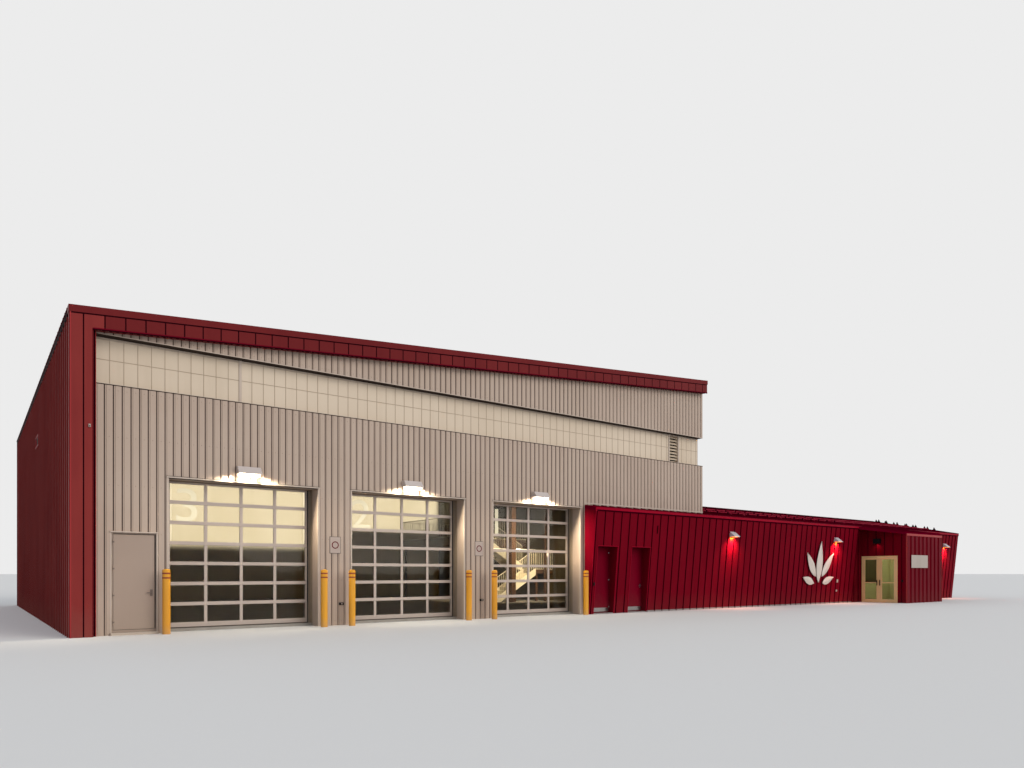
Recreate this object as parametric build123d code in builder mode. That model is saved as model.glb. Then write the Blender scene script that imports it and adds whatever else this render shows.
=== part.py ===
from build123d import *
import os

# A fire station: a tall equipment hall with a mono-pitch roof and three glazed bay doors,
# and a long low annex with a canted front wall. Every size is that of a one-to-two scale
# model, half the real building's, in millimetres. X runs along the front to the right,
# Y goes into the building and Z is up. The origin is the hall's front left corner on the ground.

os.makedirs("parts", exist_ok=True)

# Hall, overall
hall_length = 11300.0
hall_depth = 10450.0
front_wall = 200.0
side_wall = 150.0
floor_top = 35.0
eave_height = 3785.0
roof_rise = 930.0
roof_thickness = 200.0
roof_drop = 25.0

# Hall, front
red_frame_depth = 125.0
pilaster_width = 235.0
pilaster_trim_width = 35.0
pilaster_trim_depth = 60.0
fascia_height = 250.0
cap_height = 80.0
cap_proud = 12.0
side_overhang = 12.0
clerestory_sill = 2965.0
clerestory_head = 3545.0
clerestory_setback = 125.0
louver_margin = 600.0
louver_width = 290.0
louver_blades = 15
louver_frame = 22.0
louver_blade = 5.0
louver_inset = 8.0
side_louver = (4150.0, 4700.0)
side_louver_heights = (2805.0, 2965.0)
side_louver_blades = 4
eave_trim_height = 90.0

# Bays
bay_lefts = (1057.0, 3478.0, 5965.0)
bay_width = 1920.0
bay_head = 1910.0
bay_door_setback = 275.0
bay_door_width = 1815.0
bay_door_depth = 30.0
bay_door_top = 1905.0
bay_columns = 4
bay_rows = 7
bay_column_pitch = 453.0
bay_row_pitch = 260.0
bay_rail = 45.0
bay_stile = 40.0
bay_rim = 48.0
bay_front_depth = 18.0
glass_thickness = 4.0
lining = 60.0
lining_depth = 40.0

# Mezzanine and stair behind the right bay, set out from the right wall's inner face
deck_length = 2550.0
deck_front = 5750.0
deck_depth = 2250.0
deck_top = 1635.0
deck_thickness = 230.0
landing_length = 550.0
stair_front = 4650.0
stair_width = 520.0
stair_well = 30.0
stair_going = 150.0
stair_risers = 9
stair_plate = 10.0
stringer_thickness = 12.0
stringer_depth = 170.0
stringer_rise = 25.0
landing_thickness = 100.0
rail_height = 500.0
rail_bar = 14.0
rail_thickness = 8.0
baluster_width = 8.0
baluster_pitch = 60.0
tall_columns = ((1405.0, 125.0), (370.0, 50.0))
tall_column_line = 4500.0
post_width = 50.0

# Single doors
door_gap = 5.0
leaf_thickness = 22.0
knuckle_offset = 7.0
knuckle_radius = 5.0
pin_radius = 3.0
pin_clearance = 0.3
knuckle_height = 20.0
knuckle_sides = 12
jamb_width = 15.0
jamb_depth = 70.0
stop_width = 9.0
hinge_plate = 14.0
hinge_plate_thickness = 3.0
lever_height = 500.0
lever_inset = 35.0
lever_plate = (28.0, 80.0, 5.0)
lever_reach = 30.0
lever_bar = 10.0
lever_bar_depth = 7.0
lever_length = 60.0
hinge_end = 90.0
hinge_play = 0.5

man_door_left = 455.0
man_door_width = 445.0
man_door_bottom = 65.0
man_door_top = 1200.0
annex_door_width = 455.0
annex_door_1_left = 8117.0
annex_door_2_left = 8987.0
annex_door_bottom = 30.0
annex_door_top = 1205.0
annex_leaf_plane = -25.0

# Annex
annex_left = 7990.0
annex_right = 22900.0
annex_depth = 4800.0
annex_wall = 125.0
cant_foot = 120.0
cant_head = 300.0
annex_wall_top = 1850.0
annex_fascia = 65.0
annex_fascia_proud = 12.0
annex_slope = 0.2
guard_rows = (350.0, 900.0)
guard_cell = 475.0
guard_height = 55.0
guard_bar_width = 8.0
guard_bar_height = 16.0
guard_foot_front = 40.0
guard_foot_back = 50.0
guard_seat = 0.3

# Entrance block
niche_left = 17060.0
block_left = 17515.0
block_right = 19440.0
block_front = -1255.0
block_wall = 100.0
block_roof_top = 1760.0
entrance_far = -150.0
entrance_near = -1055.0
entrance_head = 1175.0
entrance_frame_width = 35.0
entrance_frame_depth = 60.0
entrance_leaf_bottom = 12.0
entrance_stile = 50.0
entrance_meeting_stile = 68.0
entrance_bottom_rail = 70.0
entrance_mid_rail_height = 500.0
entrance_mid_rail = 25.0
pull_bar = 10.0
pull_reach = 30.0
pull_half_length = 65.0

# Lamps and bollards
bay_lamp_width = 305.0
bay_lamp_base = 1985.0
bay_lamp_height = 175.0
bay_lamp_reach = 130.0
bay_lamp_lip = 45.0
annex_lamp_width = 210.0
annex_lamp_base = 1500.0
annex_lamp_height = 110.0
annex_lamp_reach = 150.0
annex_lamp_lip = 20.0
annex_lamp_places = (11950.0, 16050.0, 22030.0)
bollard_radius = 46.0
bollard_height = 790.0
bollard_crown = 14.0
bollard_places = ((1000.0, -170.0), (2990.0, -195.0), (3400.0, -195.0),
                  (5365.0, -200.0), (5850.0, -205.0), (7860.0, -185.0))

# What the sizes above give
roof_slope = roof_rise / hall_length
fascia_foot = eave_height - fascia_height
roof_top = eave_height - roof_drop
roof_foot = roof_top - roof_thickness
eave_top = annex_wall_top + annex_fascia
ridge_y = (annex_depth - cant_head) / 2
ridge_top = eave_top + annex_slope * (ridge_y + cant_head)


def cant_at(height):
    """Return the Y of the canted wall's face at a height."""
    return -cant_foot - (cant_head - cant_foot) * height / annex_wall_top


def slab(x_range, y_range, z_range, mode=Mode.ADD):
    """Add a slab between the two values given for each direction."""
    spans = [sorted(values) for values in (x_range, y_range, z_range)]
    with Locations(tuple(sum(span) / 2 for span in spans)):
        Box(*[high - low for low, high in spans], mode=mode)


def outline_along_x(points, x_start, x_end, mode=Mode.ADD):
    """Extrude an outline given in Y and Z between two values of X."""
    with BuildSketch(Plane.YZ.offset(x_start)) as outline:
        with BuildLine():
            Polyline(*points, close=True)
        make_face()
    extrude(outline.sketch, amount=x_end - x_start, mode=mode)


def outline_along_y(points, y_start, y_end, mode=Mode.ADD):
    """Extrude an outline given in X and Z between two values of Y."""
    with BuildSketch(Plane.XZ.offset(-y_end)) as outline:
        with BuildLine():
            Polyline(*points, close=True)
        make_face()
    extrude(outline.sketch, amount=y_end - y_start, mode=mode)


def outline_along_z(points, z_start, z_end, mode=Mode.ADD):
    """Extrude an outline given in X and Y between two values of Z."""
    with BuildSketch(Plane.XY.offset(z_start)) as outline:
        with BuildLine():
            Polyline(*points, close=True)
        make_face()
    extrude(outline.sketch, amount=z_end - z_start, mode=mode)


def save(part, name):
    """Label a finished piece and write it."""
    part.label = name
    export_step(part, f"parts/{name}.step")


# Hall floor
with BuildPart() as hall_floor:
    slab((side_wall, hall_length - side_wall), (front_wall, hall_depth - side_wall), (0, floor_top))
hall_floor.part.label = "hall_floor"
export_step(hall_floor.part, "parts/hall_floor.step")

# Front wall of the hall, split beside and over its doorways
man_opening = (man_door_left - door_gap - jamb_width,
               man_door_left + man_door_width + door_gap + jamb_width)
man_opening_top = man_door_top + door_gap + jamb_width
annex_openings = [(left - door_gap - jamb_width, left + annex_door_width + door_gap + jamb_width)
                  for left in (annex_door_1_left, annex_door_2_left)]
annex_opening_top = annex_door_top + door_gap + jamb_width
bay_rights = [left + bay_width for left in bay_lefts]

with BuildPart() as hall_front_piers:
    tall_piers = [(0.0, man_opening[0]), (man_opening[1], bay_lefts[0]),
                  (bay_rights[0], bay_lefts[1]), (bay_rights[1], bay_lefts[2])]
    for pier in tall_piers:
        slab(pier, (0, front_wall), (0, bay_head))
    low_piers = [(bay_rights[2], annex_openings[0][0]),
                 (annex_openings[0][1], annex_openings[1][0]),
                 (annex_openings[1][1], hall_length)]
    for pier in low_piers:
        slab(pier, (0, front_wall), (0, annex_opening_top))
hall_front_piers.part.label = "hall_front_piers"
export_step(hall_front_piers.part, "parts/hall_front_piers.step")

with BuildPart() as hall_wall_over_doors:
    slab(man_opening, (0, front_wall), (man_opening_top, bay_head))
    slab((bay_rights[2], hall_length), (0, front_wall), (annex_opening_top, bay_head))
hall_wall_over_doors.part.label = "hall_wall_over_doors"
export_step(hall_wall_over_doors.part, "parts/hall_wall_over_doors.step")

with BuildPart() as hall_wall_over_bays:
    slab((0, hall_length), (0, front_wall), (bay_head, clerestory_sill))
hall_wall_over_bays.part.label = "hall_wall_over_bays"
export_step(hall_wall_over_bays.part, "parts/hall_wall_over_bays.step")

# Translucent band and its louver
clerestory_span = (clerestory_setback, front_wall)
louver_right = hall_length - louver_margin
louver_left = louver_right - louver_width
with BuildPart() as clerestory_panels:
    slab((0, louver_left), clerestory_span, (clerestory_sill, clerestory_head))
    slab((louver_right, hall_length), clerestory_span, (clerestory_sill, clerestory_head))
clerestory_panels.part.label = "clerestory_panels"
export_step(clerestory_panels.part, "parts/clerestory_panels.step")


def louver(x_range, y_range, z_range, blades):
    """Add a framed louver that faces the front, with blades that rise from its outer face inwards."""
    slab(x_range, y_range, z_range)
    clear_x = (x_range[0] + louver_frame, x_range[1] - louver_frame)
    clear_z = (z_range[0] + louver_frame, z_range[1] - louver_frame)
    slab(clear_x, y_range, clear_z, mode=Mode.SUBTRACT)
    outer, inner = y_range[0] + louver_inset, y_range[1] - louver_inset
    blade_pitch = (clear_z[1] - clear_z[0]) / blades
    for blade in range(blades):
        foot = clear_z[0] + blade * blade_pitch + louver_blade
        head = foot + blade_pitch - 2 * louver_blade
        outline_along_x([(outer, foot), (outer, foot + louver_blade), (inner, head),
                         (inner, head - louver_blade)], *clear_x)


with BuildPart() as clerestory_louver:
    louver((louver_left, louver_right), clerestory_span, (clerestory_sill, clerestory_head), louver_blades)
clerestory_louver.part.label = "clerestory_louver"
export_step(clerestory_louver.part, "parts/clerestory_louver.step")

# Wedge of wall between the translucent band and the sloping roof
with BuildPart() as hall_gable_wall:
    outline_along_y([(0, clerestory_head), (hall_length, clerestory_head),
                     (hall_length, roof_foot + roof_rise), (0, roof_foot)], 0, front_wall)
hall_gable_wall.part.label = "hall_gable_wall"
export_step(hall_gable_wall.part, "parts/hall_gable_wall.step")

# Side and back walls
with BuildPart() as hall_left_wall:
    slope_at_wall = roof_slope * side_wall
    outline_along_y([(0, 0), (side_wall, 0), (side_wall, roof_foot + slope_at_wall), (0, roof_foot)],
                    front_wall, hall_depth - side_wall)
    slab((0, side_wall), side_louver, side_louver_heights, mode=Mode.SUBTRACT)
hall_left_wall.part.label = "hall_left_wall"
export_step(hall_left_wall.part, "parts/hall_left_wall.step")

with BuildPart() as louver_facing_front:
    louver([-edge for edge in reversed(side_louver)], (0, side_wall), side_louver_heights, side_louver_blades)

with BuildPart() as left_wall_louver:
    add(louver_facing_front.part, rotation=(0, 0, -90))
left_wall_louver.part.label = "left_wall_louver"
export_step(left_wall_louver.part, "parts/left_wall_louver.step")

with BuildPart() as hall_right_wall:
    outline_along_y([(hall_length - side_wall, 0), (hall_length, 0), (hall_length, roof_foot + roof_rise),
                     (hall_length - side_wall, roof_foot + roof_rise - slope_at_wall)],
                    front_wall, hall_depth - side_wall)
hall_right_wall.part.label = "hall_right_wall"
export_step(hall_right_wall.part, "parts/hall_right_wall.step")

with BuildPart() as hall_back_wall:
    outline_along_y([(0, 0), (hall_length, 0), (hall_length, roof_foot + roof_rise), (0, roof_foot)],
                    hall_depth - side_wall, hall_depth)
hall_back_wall.part.label = "hall_back_wall"
export_step(hall_back_wall.part, "parts/hall_back_wall.step")

# Roof, red corner frame and fascia
def sloped_band(foot, head, x_start, x_end, y_start, y_end):
    """Add a band that follows the roof's slope, between two heights given at the left corner."""
    outline_along_y([(x_start, foot + roof_slope * x_start), (x_end, foot + roof_slope * x_end),
                     (x_end, head + roof_slope * x_end), (x_start, head + roof_slope * x_start)],
                    y_start, y_end)


with BuildPart() as hall_roof:
    sloped_band(roof_foot, roof_top, 0, hall_length, 0, hall_depth)
hall_roof.part.label = "hall_roof"
export_step(hall_roof.part, "parts/hall_roof.step")

with BuildPart() as corner_pilaster:
    trim_right = pilaster_width + pilaster_trim_width
    outline_along_z([(0, -red_frame_depth), (pilaster_width, -red_frame_depth),
                     (pilaster_width, -pilaster_trim_depth), (trim_right, -pilaster_trim_depth),
                     (trim_right, 0), (0, 0)], 0, fascia_foot)
corner_pilaster.part.label = "corner_pilaster"
export_step(corner_pilaster.part, "parts/corner_pilaster.step")

with BuildPart() as front_fascia:
    sloped_band(fascia_foot, eave_height - cap_height, 0, hall_length, -red_frame_depth, 0)
front_fascia.part.label = "front_fascia"
export_step(front_fascia.part, "parts/front_fascia.step")

with BuildPart() as fascia_cap:
    sloped_band(eave_height - cap_height, eave_height, -side_overhang, hall_length + side_overhang,
                -red_frame_depth - cap_proud, 0)
fascia_cap.part.label = "fascia_cap"
export_step(fascia_cap.part, "parts/fascia_cap.step")

with BuildPart() as hall_eave_trims:
    slab((-side_overhang, 0), (0, hall_depth), (roof_top - eave_trim_height, roof_top))
    slab((hall_length, hall_length + side_overhang), (0, hall_depth),
         (roof_top + roof_rise - eave_trim_height, roof_top + roof_rise))
    sloped_band(roof_top - eave_trim_height, roof_top, -side_overhang, hall_length + side_overhang,
                hall_depth, hall_depth + side_overhang)
hall_eave_trims.part.label = "hall_eave_trims"
export_step(hall_eave_trims.part, "parts/hall_eave_trims.step")

# Bay linings and glazed bay doors
door_margin = (bay_width - bay_door_width) / 2
lining_back = bay_door_setback + bay_door_depth + lining_depth
with BuildPart() as bay_jambs:
    for left in bay_lefts:
        for edge, inward in ((left, 1), (left + bay_width, -1)):
            outer = edge - inward * lining
            inner = edge + inward * door_margin
            outline_along_z([(outer, front_wall), (edge, front_wall), (edge, bay_door_setback),
                             (inner, bay_door_setback), (inner, lining_back), (outer, lining_back)],
                            floor_top, bay_door_top)
bay_jambs.part.label = "bay_jambs"
export_step(bay_jambs.part, "parts/bay_jambs.step")

with BuildPart() as bay_heads:
    for left in bay_lefts:
        slab((left - lining, left + bay_width + lining), (front_wall, lining_back),
             (bay_door_top, bay_door_top + lining))
bay_heads.part.label = "bay_heads"
export_step(bay_heads.part, "parts/bay_heads.step")


def bay_door(left):
    """Return the rails and stiles of one glazed sectional door as one lattice."""
    door_left = left + door_margin
    door_right = door_left + bay_door_width
    back = bay_door_setback + bay_door_depth
    rows_foot = bay_door_top - bay_rail / 2 - (bay_rows - 0.5) * bay_row_pitch + bay_rail / 2
    middle = ((door_left + door_right) / 2, rows_foot + (bay_rows - 1) * bay_row_pitch / 2)
    with BuildPart() as lattice:
        slab((door_left, door_right), (bay_door_setback, back), (floor_top, bay_door_top))
        with BuildSketch(Plane.XZ.offset(-back)):
            with Locations(middle):
                with GridLocations(bay_column_pitch, bay_row_pitch, bay_columns, bay_rows):
                    Rectangle(bay_column_pitch - bay_stile, bay_row_pitch - bay_rail)
        extrude(amount=bay_door_depth, mode=Mode.SUBTRACT)
        slab((door_left + bay_rim, door_right - bay_rim), (bay_door_setback + bay_front_depth, back),
             (floor_top + bay_rim, bay_door_top - bay_rail / 2), mode=Mode.SUBTRACT)
    return lattice.part


for number, left in enumerate(bay_lefts, start=1):
    save(bay_door(left), f"bay_door_{number}")

with BuildPart() as bay_glass:
    for left in bay_lefts:
        door_left = left + door_margin
        slab((door_left + bay_rim, door_left + bay_door_width - bay_rim),
             (bay_door_setback + bay_front_depth, bay_door_setback + bay_front_depth + glass_thickness),
             (floor_top + bay_rim, bay_door_top - bay_rail / 2))
bay_glass.part.label = "bay_glass"
export_step(bay_glass.part, "parts/bay_glass.step")

# Mezzanine deck and its stair, two flights that turn at a landing against the right wall
inner_right = hall_length - side_wall
deck_left = inner_right - deck_length
stair_right = inner_right - landing_length
stair_left = stair_right - (stair_risers - 1) * stair_going
stair_riser = (deck_top - floor_top) / (2 * stair_risers)
stair_slope = stair_riser / stair_going
landing_top = floor_top + stair_risers * stair_riser
lower_flight = (stair_front, stair_front + stair_width)
upper_flight = (lower_flight[1] + stair_well, lower_flight[1] + stair_well + stair_width)
deck_back = deck_front + deck_depth

with BuildPart() as mezzanine_deck:
    outline_along_z([(deck_left, upper_flight[0]), (stair_left, upper_flight[0]), (stair_left, deck_front),
                     (inner_right, deck_front), (inner_right, deck_back), (deck_left, deck_back)],
                    deck_top - deck_thickness, deck_top)
    slab((stair_right, inner_right), (lower_flight[0], upper_flight[1]),
         (landing_top - landing_thickness, landing_top))
mezzanine_deck.part.label = "mezzanine_deck"
export_step(mezzanine_deck.part, "parts/mezzanine_deck.step")


def flight(start, direction, y_range, base, foot):
    """Add a flight of folded steps between two stringers, climbing along X from a base height.

    The stringers are cut level at foot where they would reach lower.
    """
    steps = stair_risers - 1
    top, under = [], []
    for step in range(steps):
        tread = base + (step + 1) * stair_riser
        near = start + direction * step * stair_going
        far = near + direction * stair_going
        under_near = near + direction * stair_plate
        under_far = far if step == steps - 1 else far + direction * stair_plate
        top += [(near, tread), (far, tread)]
        under += [(under_near, tread - stair_plate), (under_far, tread - stair_plate)]
    profile = [(start, base)] + top + under[::-1] + [(start + direction * stair_plate, base)]
    outline_along_y(profile, y_range[0] + stringer_thickness, y_range[1] - stringer_thickness)
    head_x = start + direction * steps * stair_going
    head = base + stair_risers * stair_riser + stringer_rise
    high = base + stair_riser + stringer_rise
    low = high - stringer_depth
    stringer = [(start, max(low, foot)), (start, high), (head_x, head), (head_x, head - stringer_depth)]
    if low < foot:
        stringer.append((start + direction * (foot - low) / stair_slope, foot))
    for side in (y_range[0], y_range[1] - stringer_thickness):
        outline_along_y(stringer, side, side + stringer_thickness)


with BuildPart() as stair_flights:
    flight(stair_left, 1, lower_flight, floor_top, floor_top)
    flight(stair_right, -1, upper_flight, landing_top, landing_top - landing_thickness)
stair_flights.part.label = "stair_flights"
export_step(stair_flights.part, "parts/stair_flights.step")


def railing(plane, start, end, foot, head_rise, height):
    """Add a flat railing on a plane, from start to end along it, that rises by head_rise over its length."""
    slope = head_rise / (end - start)
    count = max(1, round((end - start - baluster_width) / baluster_pitch))
    pitch = (end - start - baluster_width) / count

    def sheared(x_start, x_end, z_start, z_end):
        """Return a box's outline that leans with the railing's slope."""
        return [(x_start, z_start + slope * (x_start - start)), (x_end, z_start + slope * (x_end - start)),
                (x_end, z_end + slope * (x_end - start)), (x_start, z_end + slope * (x_start - start))]

    with BuildSketch(plane) as pattern:
        with BuildLine():
            Polyline(*sheared(start, end, foot, foot + height), close=True)
        make_face()
        for bar in range(count):
            left = start + baluster_width + bar * pitch
            with BuildLine():
                Polyline(*sheared(left, left + pitch - baluster_width, foot + rail_bar,
                                  foot + height - rail_bar), close=True)
            make_face(mode=Mode.SUBTRACT)
    extrude(pattern.sketch, amount=rail_thickness)


with BuildPart() as stair_rails:
    margin = stringer_thickness
    flight_foot = stair_riser + stringer_rise
    flight_rise = (stair_risers - 1) * stair_riser
    railing(Plane.XZ.offset(-lower_flight[0] - rail_thickness), stair_left, stair_right - margin,
            floor_top + flight_foot, flight_rise * (1 - margin / (stair_right - stair_left)), rail_height)
    railing(Plane.XZ.offset(-upper_flight[0] - rail_thickness), stair_left + margin, stair_right - margin,
            deck_top + stringer_rise - stair_slope * margin,
            -flight_rise * (1 - 2 * margin / (stair_right - stair_left)), rail_height)
    railing(Plane.XZ.offset(-lower_flight[0] - rail_thickness), stair_right + margin, inner_right,
            landing_top, 0, rail_height)
    railing(Plane.XZ.offset(-deck_front - rail_thickness), stair_left + margin, inner_right,
            deck_top, 0, rail_height)
    railing(Plane.XZ.offset(-upper_flight[0] - rail_thickness), deck_left + margin, stair_left - margin,
            deck_top, 0, rail_height)
    railing(Plane.XZ.offset(-deck_back), deck_left + margin, inner_right, deck_top, 0, rail_height)
    railing(Plane.YZ.offset(deck_left), upper_flight[0], deck_back, deck_top, 0, rail_height)
stair_rails.part.label = "stair_rails"
export_step(stair_rails.part, "parts/stair_rails.step")

with BuildPart() as mezzanine_columns:
    for distance, width in tall_columns:
        low, high = inner_right - distance - width / 2, inner_right - distance + width / 2
        outline_along_y([(low, floor_top), (high, floor_top), (high, roof_foot + roof_slope * high),
                         (low, roof_foot + roof_slope * low)],
                        tall_column_line - width / 2, tall_column_line + width / 2)
    for front in (upper_flight[0] + post_width, deck_back - 2 * post_width):
        slab((deck_left + post_width, deck_left + 2 * post_width), (front, front + post_width),
             (floor_top, deck_top - deck_thickness))
    for front in (lower_flight[0] + post_width, upper_flight[1] - 2 * post_width):
        slab((stair_right + post_width, stair_right + 2 * post_width), (front, front + post_width),
             (floor_top, landing_top - landing_thickness))
mezzanine_columns.part.label = "mezzanine_columns"
export_step(mezzanine_columns.part, "parts/mezzanine_columns.step")


# Annex walls
def roof_foot_at(y):
    """Return the underside of the annex roof's front slope at a value of Y."""
    return annex_wall_top + annex_slope * (y + cant_head)


def canted_wall(x_start, x_end, z_start, z_end):
    """Add a stretch of the wall whose outer face leans out as it rises."""
    inner_top = roof_foot_at(0) if z_end == annex_wall_top else z_end
    outline_along_x([(cant_at(z_start), z_start), (cant_at(z_end), z_end), (0, inner_top), (0, z_start)],
                    x_start, x_end)


with BuildPart() as annex_door_piers:
    canted_wall(annex_left, annex_openings[0][0], 0, annex_opening_top)
    canted_wall(annex_openings[0][1], annex_openings[1][0], 0, annex_opening_top)
annex_door_piers.part.label = "annex_door_piers"
export_step(annex_door_piers.part, "parts/annex_door_piers.step")

with BuildPart() as annex_wall_over_doors:
    canted_wall(annex_left, annex_openings[1][1], annex_opening_top, annex_wall_top)
annex_wall_over_doors.part.label = "annex_wall_over_doors"
export_step(annex_wall_over_doors.part, "parts/annex_wall_over_doors.step")

with BuildPart() as annex_front_wall:
    canted_wall(annex_openings[1][1], niche_left, 0, annex_wall_top)
    outline_along_x([(-cant_foot, 0), (-cant_foot, roof_foot_at(-cant_foot)), (0, roof_foot_at(0)), (0, 0)],
                    niche_left, block_left)
    canted_wall(block_right, annex_right, 0, annex_wall_top)
annex_front_wall.part.label = "annex_front_wall"
export_step(annex_front_wall.part, "parts/annex_front_wall.step")

with BuildPart() as annex_right_wall:
    outline_along_x([(0, 0), (0, roof_foot_at(0)), (ridge_y, roof_foot_at(ridge_y)),
                     (annex_depth - cant_head, roof_foot_at(0)), (annex_depth - cant_head, 0)],
                    annex_right - annex_wall, annex_right)
annex_right_wall.part.label = "annex_right_wall"
export_step(annex_right_wall.part, "parts/annex_right_wall.step")

with BuildPart() as annex_back_wall:
    inner_face = annex_depth - cant_head - annex_wall
    outline_along_x([(inner_face, 0), (inner_face, roof_foot_at(annex_wall)),
                     (annex_depth - cant_head, roof_foot_at(0)), (annex_depth - cant_head, 0)],
                    hall_length, annex_right - annex_wall)
annex_back_wall.part.label = "annex_back_wall"
export_step(annex_back_wall.part, "parts/annex_back_wall.step")

with BuildPart() as annex_floor:
    slab((hall_length, annex_right - annex_wall), (0, inner_face), (0, floor_top))
annex_floor.part.label = "annex_floor"
export_step(annex_floor.part, "parts/annex_floor.step")

# Annex roof
with BuildPart() as annex_roof_front:
    front_edge = -cant_head
    outline_along_x([(front_edge, eave_top - annex_fascia), (front_edge, eave_top),
                     (ridge_y, ridge_top), (ridge_y, ridge_top - annex_fascia)],
                    annex_left, annex_right)
    slab((annex_left, hall_length), (0, ridge_y), (0, ridge_top), mode=Mode.SUBTRACT)
annex_roof_front.part.label = "annex_roof_front"
export_step(annex_roof_front.part, "parts/annex_roof_front.step")

with BuildPart() as annex_roof_back:
    back_edge = annex_depth
    outline_along_x([(ridge_y, ridge_top - annex_fascia), (ridge_y, ridge_top),
                     (back_edge, eave_top), (back_edge, eave_top - annex_fascia)],
                    hall_length, annex_right)
annex_roof_back.part.label = "annex_roof_back"
export_step(annex_roof_back.part, "parts/annex_roof_back.step")

with BuildPart() as annex_eave_trim:
    for trim in ((annex_left, niche_left), (block_right, annex_right)):
        slab(trim, (-cant_head - annex_fascia_proud, -cant_head), (annex_wall_top, eave_top))
annex_eave_trim.part.label = "annex_eave_trim"
export_step(annex_eave_trim.part, "parts/annex_eave_trim.step")

# Snow guards
with BuildPart() as snow_guards:
    for row in guard_rows:
        base = eave_top + annex_slope * (row + cant_head)
        guard_length = annex_right - hall_length - 2 * guard_cell
        guard_start = hall_length + guard_cell
        slab((guard_start, guard_start + guard_length), (row, row + guard_bar_width),
             (base + guard_height - guard_bar_height, base + guard_height))
        brackets = int(guard_length // guard_cell)
        for bracket in range(brackets + 1):
            place = guard_start + bracket * guard_length / brackets
            head = base + guard_height - guard_bar_height - guard_seat
            outline_along_x([(row - guard_foot_front, base - annex_slope * guard_foot_front),
                             (row, head), (row + guard_bar_width, head),
                             (row + guard_foot_back, base + annex_slope * guard_foot_back)],
                            place - guard_bar_width / 2, place + guard_bar_width / 2)
snow_guards.part.label = "snow_guards"
export_step(snow_guards.part, "parts/snow_guards.step")

# Entrance block
block_wall_top = block_roof_top - annex_fascia
catslide_slope = (eave_top - block_roof_top) / (-cant_head - block_front)


def catslide_foot(y):
    """Return the underside of the entrance block's roof at a value of Y."""
    return block_wall_top + catslide_slope * (y - block_front)


with BuildPart() as entrance_front_wall:
    outline_along_x([(block_front, 0), (block_front, catslide_foot(block_front)),
                     (block_front + block_wall, catslide_foot(block_front + block_wall)),
                     (block_front + block_wall, 0)], block_left, block_right)
entrance_front_wall.part.label = "entrance_front_wall"
export_step(entrance_front_wall.part, "parts/entrance_front_wall.step")

with BuildPart() as entrance_side_walls:
    wall_back = block_front + block_wall
    slab((block_left, block_left + block_wall), (wall_back, entrance_near), (0, entrance_head))
    slab((block_left, block_left + block_wall), (entrance_far, 0), (0, entrance_head))
    outline_along_x([(wall_back, 0), (wall_back, catslide_foot(wall_back)), (-cant_head, annex_wall_top),
                     (0, roof_foot_at(0)), (0, 0)], block_right - block_wall, block_right)
entrance_side_walls.part.label = "entrance_side_walls"
export_step(entrance_side_walls.part, "parts/entrance_side_walls.step")

with BuildPart() as entrance_wall_over_door:
    outline_along_x([(wall_back, entrance_head), (wall_back, catslide_foot(wall_back)),
                     (-cant_head, annex_wall_top), (0, roof_foot_at(0)), (0, entrance_head)],
                    block_left, block_left + block_wall)
entrance_wall_over_door.part.label = "entrance_wall_over_door"
export_step(entrance_wall_over_door.part, "parts/entrance_wall_over_door.step")

with BuildPart() as entrance_roof:
    outline_along_x([(block_front, block_wall_top), (block_front, block_roof_top),
                     (-cant_head, eave_top), (-cant_head, eave_top - annex_fascia)],
                    niche_left, block_right)
    outline_along_z([(niche_left, -cant_head), (niche_left, block_front), (block_left, block_front)],
                    0, eave_top, mode=Mode.SUBTRACT)
entrance_roof.part.label = "entrance_roof"
export_step(entrance_roof.part, "parts/entrance_roof.step")

with BuildPart() as entrance_floor:
    slab((block_left + block_wall, block_right - block_wall), (wall_back, 0), (0, floor_top))
entrance_floor.part.label = "entrance_floor"
export_step(entrance_floor.part, "parts/entrance_floor.step")


# Swing doors, each drawn from its hinge pin, with its width along the plane's X
def hinge_heights(bottom, top, count):
    """Return the middle heights of a door's hinges."""
    first, last = bottom + hinge_end, top - hinge_end
    return [first + (last - first) * step / (count - 1) for step in range(count)]


with BuildPart() as knuckle_bar:
    with BuildSketch(Plane.XY.offset(-knuckle_height / 2)):
        RegularPolygon(knuckle_radius, knuckle_sides)
    extrude(amount=knuckle_height)

with BuildPart() as knuckle_bore:
    with BuildSketch(Plane.XY.offset(-knuckle_height / 2)):
        RegularPolygon(pin_radius + pin_clearance, knuckle_sides)
    extrude(amount=knuckle_height)

with BuildPart() as pin_bar:
    with BuildSketch(Plane.XY.offset(-1.5 * knuckle_height - hinge_play)):
        RegularPolygon(pin_radius, knuckle_sides)
    extrude(amount=3 * knuckle_height + 2 * hinge_play)


def hinge_half(hand, toward, heights, z_offsets, bored):
    """Add hinge knuckles with their plates, on the leaf or on the frame.

    hand is 1 for hinges on the left seen from outside and -1 on the right, toward is 1
    for the leaf's half and -1 for the frame's half.
    """
    face = hand * knuckle_offset
    for height in heights:
        for offset in z_offsets:
            z = height + offset
            half = knuckle_height / 2
            with Locations((0, 0, z)):
                add(knuckle_bar.part)
            slab((0, toward * hinge_plate), (face - hand * hinge_plate_thickness, face),
                 (z - half, z + half))
            slab((0, toward * knuckle_radius), (0, face), (z - half, z + half))
            if bored:
                with Locations((0, 0, z)):
                    add(knuckle_bore.part, mode=Mode.SUBTRACT)


def hinge_pins(heights):
    """Add the pins that run through both halves of each hinge."""
    for height in heights:
        with Locations((0, 0, height)):
            add(pin_bar.part)


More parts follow.
